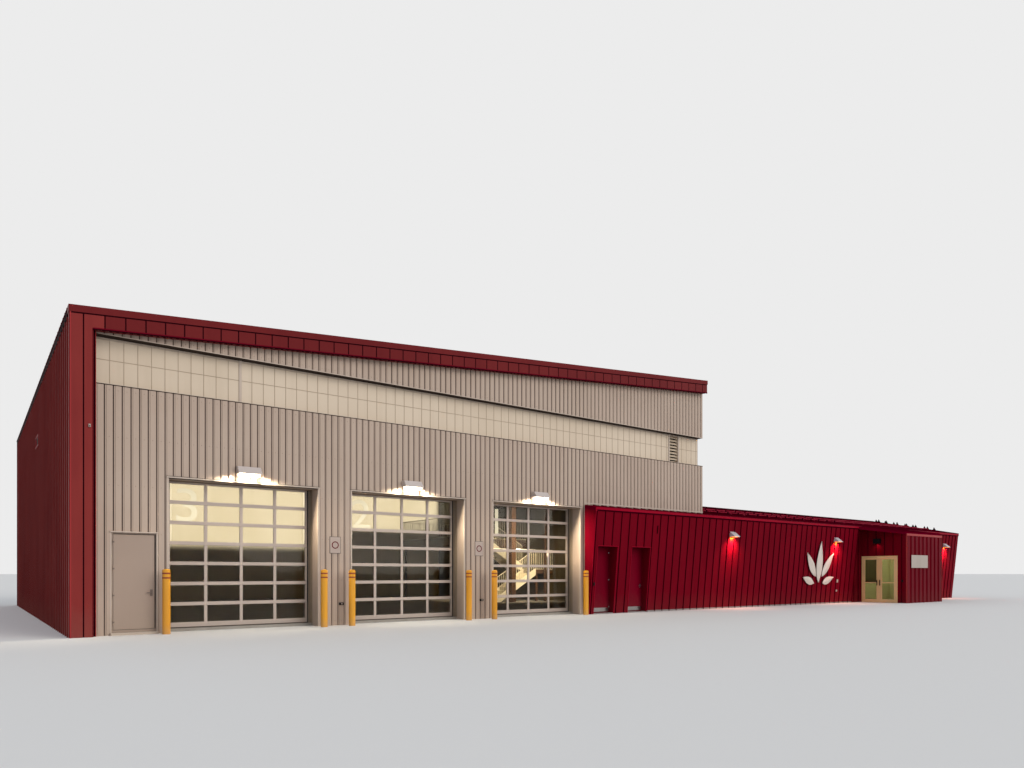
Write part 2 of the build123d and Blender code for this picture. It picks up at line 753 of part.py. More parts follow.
def door_frame(plane, hand, width, bottom, top, hinges):
    """Return a door's frame with its stops, threshold and the fixed halves of its hinges."""
    face = hand * knuckle_offset
    back = face + hand * jamb_depth
    stop_face = face + hand * (leaf_thickness + door_gap)
    near = -door_gap / 2
    far = width + 1.5 * door_gap
    outer_x = (near - jamb_width, far + jamb_width)
    with BuildPart(plane) as frame:
        slab(outer_x, (face, back), (0, top + door_gap + jamb_width))
        slab((near, far), (face, stop_face), (bottom - door_gap, top + door_gap), mode=Mode.SUBTRACT)
        slab((near + stop_width, far - stop_width), (face, back),
             (bottom - door_gap, top + door_gap - stop_width), mode=Mode.SUBTRACT)
        heights = hinge_heights(bottom, top, hinges)
        hinge_half(hand, -1, heights, (-knuckle_height - hinge_play, knuckle_height + hinge_play), False)
        hinge_pins(heights)
    return frame.part


def door_leaf(plane, hand, width, bottom, top):
    """Return a plain door leaf."""
    face = hand * knuckle_offset
    near = door_gap / 2
    with BuildPart(plane) as leaf:
        slab((near, near + width), (face, face + hand * leaf_thickness), (bottom, top))
    return leaf.part


def door_hardware(plane, hand, width, bottom, top, hinges):
    """Return a leaf's lever and its halves of the hinges."""
    face = hand * knuckle_offset
    lever_x = door_gap / 2 + width - lever_inset
    plate_width, plate_height, plate_depth = lever_plate
    plate_face = face - hand * plate_depth
    lever_heights = (lever_height - lever_bar / 2, lever_height + lever_bar / 2)
    with BuildPart(plane) as hardware:
        hinge_half(hand, 1, hinge_heights(bottom, top, hinges), (0,), True)
        lever_y = face - hand * lever_reach
        lever_end = lever_x + lever_bar / 2
        slab((lever_x - plate_width / 2, lever_x + plate_width / 2), (plate_face, face),
             (lever_height - plate_height / 2, lever_height + plate_height / 2))
        slab((lever_end - lever_bar, lever_end), (lever_y, plate_face), lever_heights)
        slab((lever_end - lever_length, lever_end), (lever_y, lever_y + hand * lever_bar_depth),
             lever_heights)
    return hardware.part


man_plane = Plane(origin=(man_door_left - door_gap / 2, -knuckle_offset, 0),
                  x_dir=(1, 0, 0), z_dir=(0, 0, 1))
man_hinges = 4
save(door_frame(man_plane, 1, man_door_width, man_door_bottom, man_door_top, man_hinges), "man_door_frame")
save(door_leaf(man_plane, 1, man_door_width, man_door_bottom, man_door_top), "man_door_leaf")
save(door_hardware(man_plane, 1, man_door_width, man_door_bottom, man_door_top, man_hinges),
     "man_door_hardware")

annex_hinges = 3
annex_face = annex_leaf_plane - knuckle_offset
door_1_plane = Plane(origin=(annex_door_1_left + annex_door_width + door_gap / 2, annex_face, 0),
                     x_dir=(-1, 0, 0), z_dir=(0, 0, 1))
door_2_plane = Plane(origin=(annex_door_2_left - door_gap / 2, annex_face, 0),
                     x_dir=(1, 0, 0), z_dir=(0, 0, 1))
for number, (plane, hand) in enumerate(((door_1_plane, -1), (door_2_plane, 1)), start=1):
    sizes = (annex_door_width, annex_door_bottom, annex_door_top)
    save(door_frame(plane, hand, *sizes, annex_hinges), f"annex_door_{number}_frame")
    save(door_leaf(plane, hand, *sizes), f"annex_door_{number}_leaf")
    save(door_hardware(plane, hand, *sizes, annex_hinges), f"annex_door_{number}_hardware")

# Glazed double doors of the entrance
entrance_far_jamb = entrance_far - entrance_frame_width
entrance_near_jamb = entrance_near + entrance_frame_width
entrance_leaf_top = entrance_head - entrance_frame_width - door_gap
entrance_leaf_width = (entrance_far_jamb - entrance_near_jamb - 3 * door_gap) / 2
entrance_hinges = 3
left_leaf_plane = Plane(origin=(block_left - knuckle_offset, entrance_far_jamb - door_gap / 2, 0),
                        x_dir=(0, -1, 0), z_dir=(0, 0, 1))
right_leaf_plane = Plane(origin=(block_left - knuckle_offset, entrance_near_jamb + door_gap / 2, 0),
                         x_dir=(0, 1, 0), z_dir=(0, 0, 1))
entrance_heights = hinge_heights(entrance_leaf_bottom, entrance_leaf_top, entrance_hinges)

with BuildPart() as entrance_frame:
    frame_x = (block_left, block_left + entrance_frame_depth)
    slab(frame_x, (entrance_near, entrance_far), (0, entrance_head))
    slab(frame_x, (entrance_near_jamb, entrance_far_jamb),
         (entrance_leaf_bottom - door_gap, entrance_head - entrance_frame_width), mode=Mode.SUBTRACT)
entrance_frame.part.label = "entrance_frame"
export_step(entrance_frame.part, "parts/entrance_frame.step")


def frame_hinges(plane, hand):
    """Return the fixed halves of one entrance leaf's hinges."""
    with BuildPart(plane) as halves:
        hinge_half(hand, -1, entrance_heights, (-knuckle_height - hinge_play, knuckle_height + hinge_play),
                   False)
        hinge_pins(entrance_heights)
    return halves.part


with BuildPart() as entrance_hinge_posts:
    add(frame_hinges(left_leaf_plane, 1))
    add(frame_hinges(right_leaf_plane, -1))
entrance_hinge_posts.part.label = "entrance_hinge_posts"
export_step(entrance_hinge_posts.part, "parts/entrance_hinge_posts.step")


def entrance_leaf(plane, hand):
    """Return one glazed leaf's stiles and rails with its hinge knuckles and pull handle."""
    face = hand * knuckle_offset
    back = face + hand * leaf_thickness
    near = door_gap / 2
    far = near + entrance_leaf_width
    clear_x = (near + entrance_stile, far - entrance_meeting_stile)
    mid_rail = (entrance_mid_rail_height - entrance_mid_rail / 2,
                entrance_mid_rail_height + entrance_mid_rail / 2)
    with BuildPart(plane) as leaf:
        slab((near, far), (face, back), (entrance_leaf_bottom, entrance_leaf_top))
        slab(clear_x, (face, back), (entrance_leaf_bottom + entrance_bottom_rail, mid_rail[0]),
             mode=Mode.SUBTRACT)
        slab(clear_x, (face, back), (mid_rail[1], entrance_leaf_top - entrance_stile), mode=Mode.SUBTRACT)
        hinge_half(hand, 1, entrance_heights, (0,), True)
        pull_middle = far - entrance_meeting_stile / 2
        pull_x = (pull_middle - pull_bar / 2, pull_middle + pull_bar / 2)
        pull_y = face - hand * pull_reach
        pull_foot = entrance_mid_rail_height - pull_half_length
        pull_head = entrance_mid_rail_height + pull_half_length
        slab(pull_x, (pull_y, face), (pull_foot, pull_foot + pull_bar))
        slab(pull_x, (pull_y, face), (pull_head - pull_bar, pull_head))
        slab(pull_x, (pull_y, pull_y + hand * pull_bar), (pull_foot, pull_head))
    return leaf.part


def entrance_glass(plane, hand):
    """Return the two panes of one entrance leaf."""
    middle = hand * (knuckle_offset + leaf_thickness / 2)
    near = door_gap / 2
    far = near + entrance_leaf_width
    clear_x = (near + entrance_stile, far - entrance_meeting_stile)
    with BuildPart(plane) as panes:
        for span in ((entrance_leaf_bottom + entrance_bottom_rail,
                      entrance_mid_rail_height - entrance_mid_rail / 2),
                     (entrance_mid_rail_height + entrance_mid_rail / 2, entrance_leaf_top - entrance_stile)):
            slab(clear_x, (middle - glass_thickness / 2, middle + glass_thickness / 2), span)
    return panes.part


for side, plane, hand in (("left", left_leaf_plane, 1), ("right", right_leaf_plane, -1)):
    save(entrance_leaf(plane, hand), f"entrance_leaf_{side}")
    save(entrance_glass(plane, hand), f"entrance_glass_{side}")


# Lamps and bollards
def wedge_lamp(place, width, base, height, reach, lip, face_at):
    """Add a wall lamp whose hood slopes down and away from the wall."""
    wall_foot = face_at(base)
    wall_head = face_at(base + height)
    outline_along_x([(wall_foot, base), (wall_head, base + height), (wall_foot - reach, base + lip),
                     (wall_foot - reach, base)], place - width / 2, place + width / 2)


with BuildPart() as bay_lamps:
    for left in bay_lefts:
        wedge_lamp(left + bay_width / 2, bay_lamp_width, bay_lamp_base, bay_lamp_height,
                   bay_lamp_reach, bay_lamp_lip, lambda height: 0.0)
bay_lamps.part.label = "bay_lamps"
export_step(bay_lamps.part, "parts/bay_lamps.step")

with BuildPart() as annex_lamps:
    for place in annex_lamp_places:
        wedge_lamp(place, annex_lamp_width, annex_lamp_base, annex_lamp_height,
                   annex_lamp_reach, annex_lamp_lip, cant_at)
annex_lamps.part.label = "annex_lamps"
export_step(annex_lamps.part, "parts/annex_lamps.step")

with BuildPart() as bollards:
    with BuildSketch(Plane.XY):
        with Locations(*bollard_places):
            Circle(bollard_radius)
    extrude(amount=bollard_height)
    chamfer(bollards.edges().group_by(Axis.Z)[-1], bollard_crown)
bollards.part.label = "bollards"
export_step(bollards.part, "parts/bollards.step")
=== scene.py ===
"""Looks of the fire station building, a one-to-two scale model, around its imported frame.

Every length is in metres of the model, half the real building's. X runs along the front to
the right, Y goes into the building and Z is up.
"""
from __future__ import annotations

import logging
import math
from dataclasses import dataclass, field
from enum import Enum
from typing import Callable, Iterable, Iterator, Sequence

import bmesh
import bpy
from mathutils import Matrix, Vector


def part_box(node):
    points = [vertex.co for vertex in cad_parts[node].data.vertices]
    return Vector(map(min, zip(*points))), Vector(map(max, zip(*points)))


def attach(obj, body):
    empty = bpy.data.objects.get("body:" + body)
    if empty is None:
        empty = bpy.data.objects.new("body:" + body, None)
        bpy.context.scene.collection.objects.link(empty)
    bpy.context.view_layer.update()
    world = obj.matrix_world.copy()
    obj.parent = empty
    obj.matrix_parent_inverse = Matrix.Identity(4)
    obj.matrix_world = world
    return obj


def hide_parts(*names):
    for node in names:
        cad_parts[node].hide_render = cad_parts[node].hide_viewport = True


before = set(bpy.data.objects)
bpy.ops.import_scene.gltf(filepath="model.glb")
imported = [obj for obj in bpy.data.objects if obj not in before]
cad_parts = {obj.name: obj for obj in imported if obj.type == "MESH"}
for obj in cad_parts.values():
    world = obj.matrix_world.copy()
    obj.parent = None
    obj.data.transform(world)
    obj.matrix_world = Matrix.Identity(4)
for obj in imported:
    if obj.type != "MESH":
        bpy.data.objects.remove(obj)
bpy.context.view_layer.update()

LOG = logging.getLogger("fire_station")
BUILDING = "building"
TINY = 1e-6
THINNEST = 0.002

Tree, Node, Socket = bpy.types.NodeTree, bpy.types.Node, bpy.types.NodeSocket
Colour = tuple[float, float, float, float]
Display = tuple[int, int, int]
Point = Sequence[float]
Triple = tuple[float, float, float]
Span = tuple[float, float]
Surface = Callable[[float, float, float], Vector]
Edge = Callable[[float], float]


SRGB_LIMIT, SRGB_SLOPE, SRGB_LIFT, SRGB_SPAN, SRGB_POWER = 0.04045, 12.92, 0.055, 1.055, 2.4


def srgb(red: int, green: int, blue: int) -> Colour:
    """Turn display values of 0 to 255 into a linear colour.

    Args:
        red: Display value of red.
        green: Display value of green.
        blue: Display value of blue.

    Returns:
        The linear colour with full alpha.
    """
    def linear(value: int) -> float:
        """Return one channel's linear value."""
        share = value / 255
        if share <= SRGB_LIMIT:
            return share / SRGB_SLOPE
        return ((share + SRGB_LIFT) / SRGB_SPAN) ** SRGB_POWER

    return (linear(red), linear(green), linear(blue), 1.0)


# Shader node groups and finishes


def feed(tree: Tree, node: Node, inputs: dict) -> Node:
    """Set a node's inputs to values, or wire them to other nodes.

    Args:
        tree: The node tree.
        node: The node whose inputs are set.
        inputs: Values or sockets by the input's name or number.

    Returns:
        The same node.
    """
    for key, value in inputs.items():
        if isinstance(value, Socket):
            tree.links.new(value, node.inputs[key])
        else:
            node.inputs[key].default_value = value
    return node


def add_node(tree: Tree, kind: str, inputs: dict | None = None, **settings) -> Node:
    """Add a shader node, set it up and wire what leads into it.

    Args:
        tree: The node tree that the node joins.
        kind: The node's type name.
        inputs: Values or sockets for the node's inputs, by name or number.
        settings: Values for the node's own properties.

    Returns:
        The new node.
    """
    made = tree.nodes.new(kind)
    for key, value in settings.items():
        setattr(made, key, value)
    return feed(tree, made, inputs or {})


def stretched_noise(tree: Tree, scale: float | Socket, stretch: Point, detail: float = 4.0) -> Socket:
    """Return the value of a noise whose space is stretched along the object's axes.

    Args:
        tree: The node tree.
        scale: The noise's scale.
        stretch: Factor on each of the object's coordinates; a small one draws the noise out.
        detail: How many finer layers the noise has.
    """
    place = add_node(tree, "ShaderNodeTexCoord").outputs["Object"]
    drawn = add_node(tree, "ShaderNodeVectorMath", {0: place, 1: stretch}, operation="MULTIPLY").outputs[0]
    noise = add_node(tree, "ShaderNodeTexNoise", {"Vector": drawn, "Scale": scale, "Detail": detail})
    return noise.outputs["Fac"]


def blend(tree: Tree, factor: Socket, first: Socket, second: Socket) -> Socket:
    """Return the mix of two colours."""
    return add_node(tree, "ShaderNodeMix", {0: factor, 6: first, 7: second}, data_type="RGBA").outputs[2]


def calculate(tree: Tree, operation: str, first: Socket, second: float | Socket) -> Socket:
    """Return the result of a sum on two numbers."""
    return add_node(tree, "ShaderNodeMath", {0: first, 1: second}, operation=operation).outputs[0]


def ramp(tree: Tree, value: Socket, span: tuple, ends: Span = (0.0, 1.0)) -> Socket:
    """Return a value moved from one span to another and kept in it."""
    inputs = {0: value, 1: span[0], 2: span[1], 3: ends[0], 4: ends[1]}
    return add_node(tree, "ShaderNodeMapRange", inputs).outputs[0]


def bumped(tree: Tree, height: Socket) -> Socket:
    """Return the normal of a surface with a height in metres."""
    bump = add_node(tree, "ShaderNodeBump", {"Strength": 1.0, "Distance": 1.0, "Height": height})
    return bump.outputs["Normal"]


@dataclass
class Group:
    """A shader node group that finishes share, by its name and its named sockets.

    Sockets are numbers, apart from those whose names are in COLOURS.
    """

    name: str
    inputs: tuple[str, ...]
    outputs: tuple[str, ...]
    fill: Callable[[Tree, bpy.types.NodeOutputs], dict]

    COLOURS = ("Colour", "Second", "Dust")

    def build(self) -> Tree:
        """Build the group's tree."""
        tree = bpy.data.node_groups.new(self.name, "ShaderNodeTree")
        for way, labels in (("INPUT", self.inputs), ("OUTPUT", self.outputs)):
            for label in labels:
                kind = "NodeSocketColor" if label in self.COLOURS else "NodeSocketFloat"
                tree.interface.new_socket(name=label, in_out=way, socket_type=kind)
        given, result = tree.nodes.new("NodeGroupInput"), tree.nodes.new("NodeGroupOutput")
        feed(tree, result, self.fill(tree, given.outputs))
        return tree


PATCH_STRETCH, PATCH_RANGE = (1, 1, 0.6), (0.4, 0.65)
RUN_SCALE, RUN_STRETCH, RUN_RANGE = 9.0, (1, 1, 0.05), (0.52, 0.72)
EVEN = (1, 1, 1)
SPLASH_SCALE, SPLASH_FADE = 7.0, 1.6
WAVE_SCALE, WAVE_STRETCH, SOFT_DETAIL = 2.6, (1, 1, 0.7), 2.0
BRUSH_SCALE, BRUSH_STRETCH, BRUSH_DETAIL, BRUSH_DEPTH = 60.0, (1, 1, 0.04), 3.0, 0.0002
MIDDLE = 0.5


def patchy_tone(tree: Tree, given: bpy.types.NodeOutputs) -> dict:
    """Drift a colour towards a second one, in broad patches and in runs down the wall."""
    patches = ramp(tree, stretched_noise(tree, given["Scale"], PATCH_STRETCH), PATCH_RANGE)
    streaks = ramp(tree, stretched_noise(tree, RUN_SCALE, RUN_STRETCH), RUN_RANGE)
    mask = calculate(tree, "ADD", calculate(tree, "MULTIPLY", patches, given["Patches"]),
                     calculate(tree, "MULTIPLY", streaks, given["Runs"]))
    return {"Colour": blend(tree, mask, given["Colour"], given["Second"]), "Mask": mask}


def splash_dust(tree: Tree, given: bpy.types.NodeOutputs) -> dict:
    """Dust a colour where rain splashes from the ground."""
    place = add_node(tree, "ShaderNodeTexCoord").outputs["Object"]
    height = add_node(tree, "ShaderNodeSeparateXYZ", {0: place}).outputs["Z"]
    ragged = calculate(tree, "MULTIPLY", stretched_noise(tree, SPLASH_SCALE, EVEN), given["Reach"])
    reach = calculate(tree, "MULTIPLY", given["Reach"], SPLASH_FADE)
    fade = ramp(tree, calculate(tree, "ADD", height, ragged), (0.0, reach), (1.0, 0.0))
    mask = calculate(tree, "MULTIPLY", fade, given["Strength"])
    return {"Colour": blend(tree, mask, given["Colour"], given["Dust"])}


def sheet_ripple(tree: Tree, given: bpy.types.NodeOutputs) -> dict:
    """Give thin sheet metal its slow waves and its fine coating grain."""
    slow = stretched_noise(tree, WAVE_SCALE, WAVE_STRETCH, SOFT_DETAIL)
    fine = stretched_noise(tree, given["Grain Scale"], EVEN, SOFT_DETAIL)
    return {"Height": calculate(tree, "ADD", calculate(tree, "MULTIPLY", slow, given["Waves"]),
                                calculate(tree, "MULTIPLY", fine, given["Grain"]))}


def brushed_lines(tree: Tree, given: bpy.types.NodeOutputs) -> dict:
    """Vary roughness along the brushing of bare metal."""
    lines = stretched_noise(tree, BRUSH_SCALE, BRUSH_STRETCH, BRUSH_DETAIL)
    swing = calculate(tree, "MULTIPLY", calculate(tree, "SUBTRACT", lines, MIDDLE), given["Range"])
    return {"Roughness": calculate(tree, "ADD", given["Roughness"], swing),
            "Height": calculate(tree, "MULTIPLY", lines, BRUSH_DEPTH)}


GROUPS = {group.name: group.build() for group in (
    Group("patchy_tone", ("Colour", "Second", "Scale", "Patches", "Runs"), ("Colour", "Mask"), patchy_tone),
    Group("splash_dust", ("Colour", "Dust", "Reach", "Strength"), ("Colour",), splash_dust),
    Group("sheet_ripple", ("Waves", "Grain", "Grain Scale"), ("Height",), sheet_ripple),
    Group("brushed_lines", ("Roughness", "Range"), ("Roughness", "Height"), brushed_lines))}


def use_group(tree: Tree, name: str, inputs: dict) -> bpy.types.NodeOutputs:
    """Place one of the shared groups in a material and return its outputs."""
    return add_node(tree, "ShaderNodeGroup", inputs, node_tree=GROUPS[name]).outputs


class Finish:
    """A surface finish that makes its material once."""

    made: dict[str, bpy.types.Material] = {}

    def material(self) -> bpy.types.Material:
        """Return the finish's material, made on first use."""
        if self.name not in Finish.made:
            material = bpy.data.materials.new(self.name)
            material.use_nodes = True
            tree = material.node_tree
            feed(tree, tree.nodes["Principled BSDF"], self.inputs(tree))
            Finish.made[self.name] = material
        return Finish.made[self.name]


DUSTY = 0.35
DUST = srgb(150, 135, 118)
WARM = srgb(255, 214, 150)
ROUGHER = 0.12
PANE_WAVES = 0.0006
LENS_SCALE, LENS_PATCHES, LENS_ROUGHNESS = 12.0, 0.3, 0.3


@dataclass(frozen=True)
class Coated(Finish):
    """Paint, coated sheet, plastic or concrete, with drifting tone, dust and a grain.

    A metallic share and a brushing turn it into bare metal. A painted glow makes it shine in its own
    colour, painted light that no lamp gives.
    """

    name: str
    colour: Display
    second: Display
    roughness: float = 0.45
    metallic: float = 0.0
    scale: float = 1.5
    patches: float = 0.5
    runs: float = 0.3
    dust_reach: float = 0.35
    dust: float = 0.0
    waves: float = 0.0015
    grain: float = 0.00008
    grain_scale: float = 220.0
    brushing: float = 0.0
    coat: float = 0.0
    specular: float = 0.5
    painted_glow: float = 0.0
    alpha: float = 1.0

    def inputs(self, tree: Tree) -> dict:
        """Build the finish's nodes and return what the shader is fed with."""
        tone = use_group(tree, "patchy_tone", {
            "Colour": srgb(*self.colour), "Second": srgb(*self.second), "Scale": self.scale,
            "Patches": self.patches, "Runs": self.runs})
        dusty = use_group(tree, "splash_dust", {
            "Colour": tone["Colour"], "Dust": DUST, "Reach": self.dust_reach, "Strength": self.dust})
        ripple = use_group(tree, "sheet_ripple", {
            "Waves": self.waves, "Grain": self.grain, "Grain Scale": self.grain_scale})
        height = ripple["Height"]
        if self.brushing:
            lines = use_group(tree, "brushed_lines", {"Roughness": self.roughness, "Range": self.brushing})
            rough, height = lines["Roughness"], calculate(tree, "ADD", height, lines["Height"])
        else:
            rougher = min(1.0, self.roughness + ROUGHER)
            rough = ramp(tree, tone["Mask"], (0.0, 1.0), (self.roughness, rougher))
        made = {"Base Color": dusty["Colour"], "Roughness": rough, "Normal": bumped(tree, height),
                "Metallic": self.metallic, "Coat Weight": self.coat, "Specular IOR Level": self.specular,
                "Alpha": self.alpha}
        # Painted light: the finish shines in its own colour, with no lamp behind it.
        if self.painted_glow:
            made |= {"Emission Color": tone["Colour"], "Emission Strength": self.painted_glow}
        return made


@dataclass(frozen=True)
class Glass(Finish):
    """Clear or tinted glazing with a slight wave."""

    name: str
    tint: Display
    index: float

    def inputs(self, tree: Tree) -> dict:
        """Build the panes' wave and return what the shader is fed with."""
        ripple = use_group(tree, "sheet_ripple", {"Waves": PANE_WAVES, "Grain": 0.0, "Grain Scale": 1.0})
        return {"Base Color": srgb(*self.tint), "Transmission Weight": 1.0, "IOR": self.index,
                "Roughness": 0.0, "Normal": bumped(tree, ripple["Height"])}


@dataclass(frozen=True)
class Glow(Finish):
    """A lit lens or lamp tube, with a slight drift in its colour."""

    name: str
    colour: Display
    strength: float

    def inputs(self, tree: Tree) -> dict:
        """Build the drift and return what the shader is fed with."""
        tone = use_group(tree, "patchy_tone", {
            "Colour": srgb(*self.colour), "Second": WARM, "Scale": LENS_SCALE, "Patches": LENS_PATCHES,
            "Runs": 0.0})
        return {"Emission Color": tone["Colour"], "Base Color": tone["Colour"],
                "Emission Strength": self.strength, "Roughness": LENS_ROUGHNESS}


RED = Coated("crimson_sheet", (106, 4, 22), (92, 4, 19), 0.5, waves=0.0022, specular=0.02, dust=0.04)
RED_FRAME = Coated("crimson_frame_sheet", (126, 43, 40), (111, 34, 34), 0.42, waves=0.003, specular=0.15,
                   dust=0.12)
RED_FASCIA = Coated("crimson_fascia_sheet", (102, 27, 28), (90, 21, 24), 0.42, waves=0.003, specular=0.12)
# Painted sheen: the entrance block's ridges in a browner copy of the annex red.
RED_RIDGE_SHEEN = Coated("crimson_ridge_painted_sheen", (98, 14, 26), (86, 9, 21), 0.42, specular=0.03, dust=0.05)
RED_BAND = Coated("crimson_band", (142, 4, 32), (126, 2, 28), 0.4, specular=0.04)
RED_TRIM = Coated("bright_red_trim", (150, 44, 44), (136, 36, 38), 0.36, specular=0.2)
RED_EDGE = Coated("crimson_edge", (100, 2, 24), (86, 2, 20), 0.45, specular=0.04)
# Painted shade on the annex seams' sides, under its eave band and on the roof clips and posts.
RED_PAINTED_SHADE = Coated("crimson_painted_shade", (50, 0, 13), (42, 0, 11), 0.6, specular=0.0)
# Painted shadow in the fascia and pilaster joints and in the dark lines and teeth under the fascia; also a
# thin mark on the annex.
RED_SHADOW = Coated("crimson_joint_painted_shadow", (40, 3, 10), (32, 2, 8), 0.7, specular=0.02)
RED_DOOR = Coated("crimson_door_paint", (104, 0, 24), (94, 0, 21), 0.42, waves=0.0004, specular=0.05,
                  dust=0.06)
ROOF_RED = Coated("roof_sheet", (104, 0, 29), (90, 0, 24), 0.5, specular=0.0)
GUARD_RED = Coated("snow_guard_coat", (152, 32, 54), (138, 24, 46), 0.45, specular=0.05)
EAVE_DARK = Coated("eave_sheet", (34, 10, 12), (26, 7, 9), 0.7, specular=0.02)
BEIGE = Coated("warm_grey_sheet", (174, 155, 140), (164, 144, 129), 0.42, waves=0.0008, specular=0.35,
               dust=0.25)
# Painted shade in the grooves of the ribbed sheets; the screw heads take this dark grey too.
BEIGE_SHADE = Coated("warm_grey_painted_shade", (92, 76, 68), (82, 68, 60), 0.6, specular=0.2, dust=DUSTY)
BEIGE_TRIM = Coated("pale_flashing", (184, 168, 154), (173, 157, 143), 0.4, waves=0.0004, dust=DUSTY)
BEIGE_DOOR = Coated("warm_grey_paint", (158, 139, 125), (149, 130, 116), 0.45, waves=0.0003, specular=0.3,
                    dust=DUSTY)
DOOR_FITTING = Coated("door_fitting", (112, 97, 88), (98, 85, 77), 0.45, waves=0.0, dust=0.1)
BEIGE_LINING = Coated("bay_lining", (136, 120, 102), (124, 109, 92), 0.45, dust=DUSTY)
# Painted shade for the strip under the wedge wall and the line below the sill flashing.
SOFFIT_SHADE = Coated("soffit_painted_shade", (46, 34, 29), (36, 27, 23), 0.6, specular=0.1)
# Painted glow: the translucent band shines faintly in its own colour, standing in for light through the
# panels.
BAND = Coated("translucent_panel", (200, 184, 164), (188, 171, 150), 0.5, scale=0.6, waves=0.0003,
              specular=0.3, painted_glow=0.05)
BAND_LINE = Coated("panel_joint", (164, 146, 126), (152, 134, 114), 0.5)
LOUVER = Coated("louver_blade", (92, 84, 80), (76, 68, 65), 0.5, dust=DUSTY)
PALE_BLADE = Coated("pale_louver_blade", (196, 178, 156), (182, 163, 141), 0.5)
DOOR_METAL = Coated("door_rail_metal", (182, 167, 156), (170, 155, 144), 0.38, metallic=0.15,
                    brushing=0.1, waves=0.0002, dust=0.15)
BLACK_SEAL_AND_SHADE = Coated("black_seal_and_painted_shadow", (26, 24, 24), (36, 33, 32), 0.7, dust=DUSTY)
ENTRANCE_METAL = Coated("entrance_rail_metal", (236, 198, 144), (224, 184, 130), 0.36, metallic=0.1,
                        brushing=0.1, waves=0.0002, dust=0.15)
STEEL = Coated("satin_steel", (176, 174, 172), (150, 148, 146), 0.3, metallic=1.0, brushing=0.15,
               dust=DUSTY)
DARK_STEEL = Coated("dark_steel", (74, 62, 54), (60, 50, 44), 0.35, metallic=0.6)
LAMP_METAL = Coated("lamp_hood_metal", (196, 184, 178), (180, 168, 162), 0.34, metallic=0.2,
                    brushing=0.12)
WALL_LAMP_METAL = Coated("wall_lamp_hood_metal", (214, 208, 210), (198, 191, 194), 0.3, metallic=0.3,
                         brushing=0.12)
YELLOW = Coated("yellow_sleeve", (212, 148, 26), (192, 126, 20), 0.34, coat=0.2, waves=0.0,
                dust_reach=0.12, dust=0.4)
BAND_RED = Coated("red_tape", (128, 42, 24), (112, 34, 20), 0.4, waves=0.0, dust=DUSTY)
CONCRETE = Coated("concrete", (150, 145, 137), (128, 122, 114), 0.8, scale=4.0, waves=0.0, grain=0.0006,
                  grain_scale=60.0, dust=0.2)
BLACK = Coated("black_housing", (14, 12, 13), (22, 20, 21), 0.5, specular=0.15)
PLATE = Coated("pale_plate", (166, 154, 144), (153, 141, 131), 0.4, waves=0.0, dust=0.1)
WALL_PLATE = Coated("wall_plate", (170, 154, 144), (158, 142, 132), 0.45, waves=0.0)
PLATE_EDGE = Coated("plate_edge", (84, 74, 70), (70, 62, 58), 0.5)
RING_RED = Coated("red_print", (98, 20, 30), (84, 16, 25), 0.5, specular=0.1)
BROWN = Coated("brown_steel", (84, 60, 42), (70, 50, 35), 0.45)
STAIR = Coated("off_white_paint", (226, 216, 190), (208, 196, 168), 0.45, dust=DUSTY)
LINER = Coated("liner_panel", (192, 196, 160), (176, 180, 142), 0.5, dust=DUSTY)
LOBBY_DARK = Coated("lobby_dark_panel", (52, 46, 34), (38, 34, 24), 0.4, dust=DUSTY)
INNER_WALL = Coated("dark_inner_panel", (76, 68, 48), (62, 55, 38), 0.5, dust=DUSTY)
CREAM_WALL = Coated("cream_inner_panel", (226, 216, 176), (214, 203, 160), 0.6, dust=DUSTY)
# Painted shade: the bay heads' undersides in dark brown.
BAY_HEAD_SHADE = Coated("bay_head_painted_shade", (104, 84, 64), (88, 70, 52), 0.5)
ORNAMENT = Coated("pale_cut_metal", (208, 198, 188), (188, 176, 164), 0.4, metallic=0.15)
# Painted glow: the frosted numerals shine in their own pale colour.
FROST = Coated("frosted_numeral_painted_glow", (222, 214, 186), (208, 199, 168), 0.6, alpha=0.5, painted_glow=0.55)
BAY_GLASS = Glass("bay_glazing", (236, 233, 224), 1.22)
ENTRANCE_GLASS = Glass("entrance_glazing", (230, 232, 214), 1.42)
BAY_LENS = Glow("bay_lamp_lens", (255, 246, 222), 9.0)
WALL_LENS = Glow("wall_lamp_lens", (255, 160, 70), 3.0)
TUBE = Glow("strip_lamp", (255, 246, 224), 9.0)


# Shapes


@dataclass(frozen=True)
class Extent:
    """A box between two values along each axis, such as a node's at rest."""

    x0: float
    x1: float
    y0: float
    y1: float
    z0: float
    z1: float

    @classmethod
    def of(cls, node: str) -> "Extent":
        """Read a node's box from the frame."""
        low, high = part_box(node)
        return cls(low[0], high[0], low[1], high[1], low[2], high[2])

    x = property(lambda self: (self.x0, self.x1), doc="The box's span along X.")
    y = property(lambda self: (self.y0, self.y1), doc="The box's span along Y.")
    z = property(lambda self: (self.z0, self.z1), doc="The box's span upwards.")


def read_box(node: str) -> Extent:
    """Return a dataclass field that reads a node's box."""
    return field(default_factory=lambda: Extent.of(node))


def about(middle: float, half: float) -> Span:
    """Return the span that reaches as far to both sides of its middle."""
    return (middle - half, middle + half)


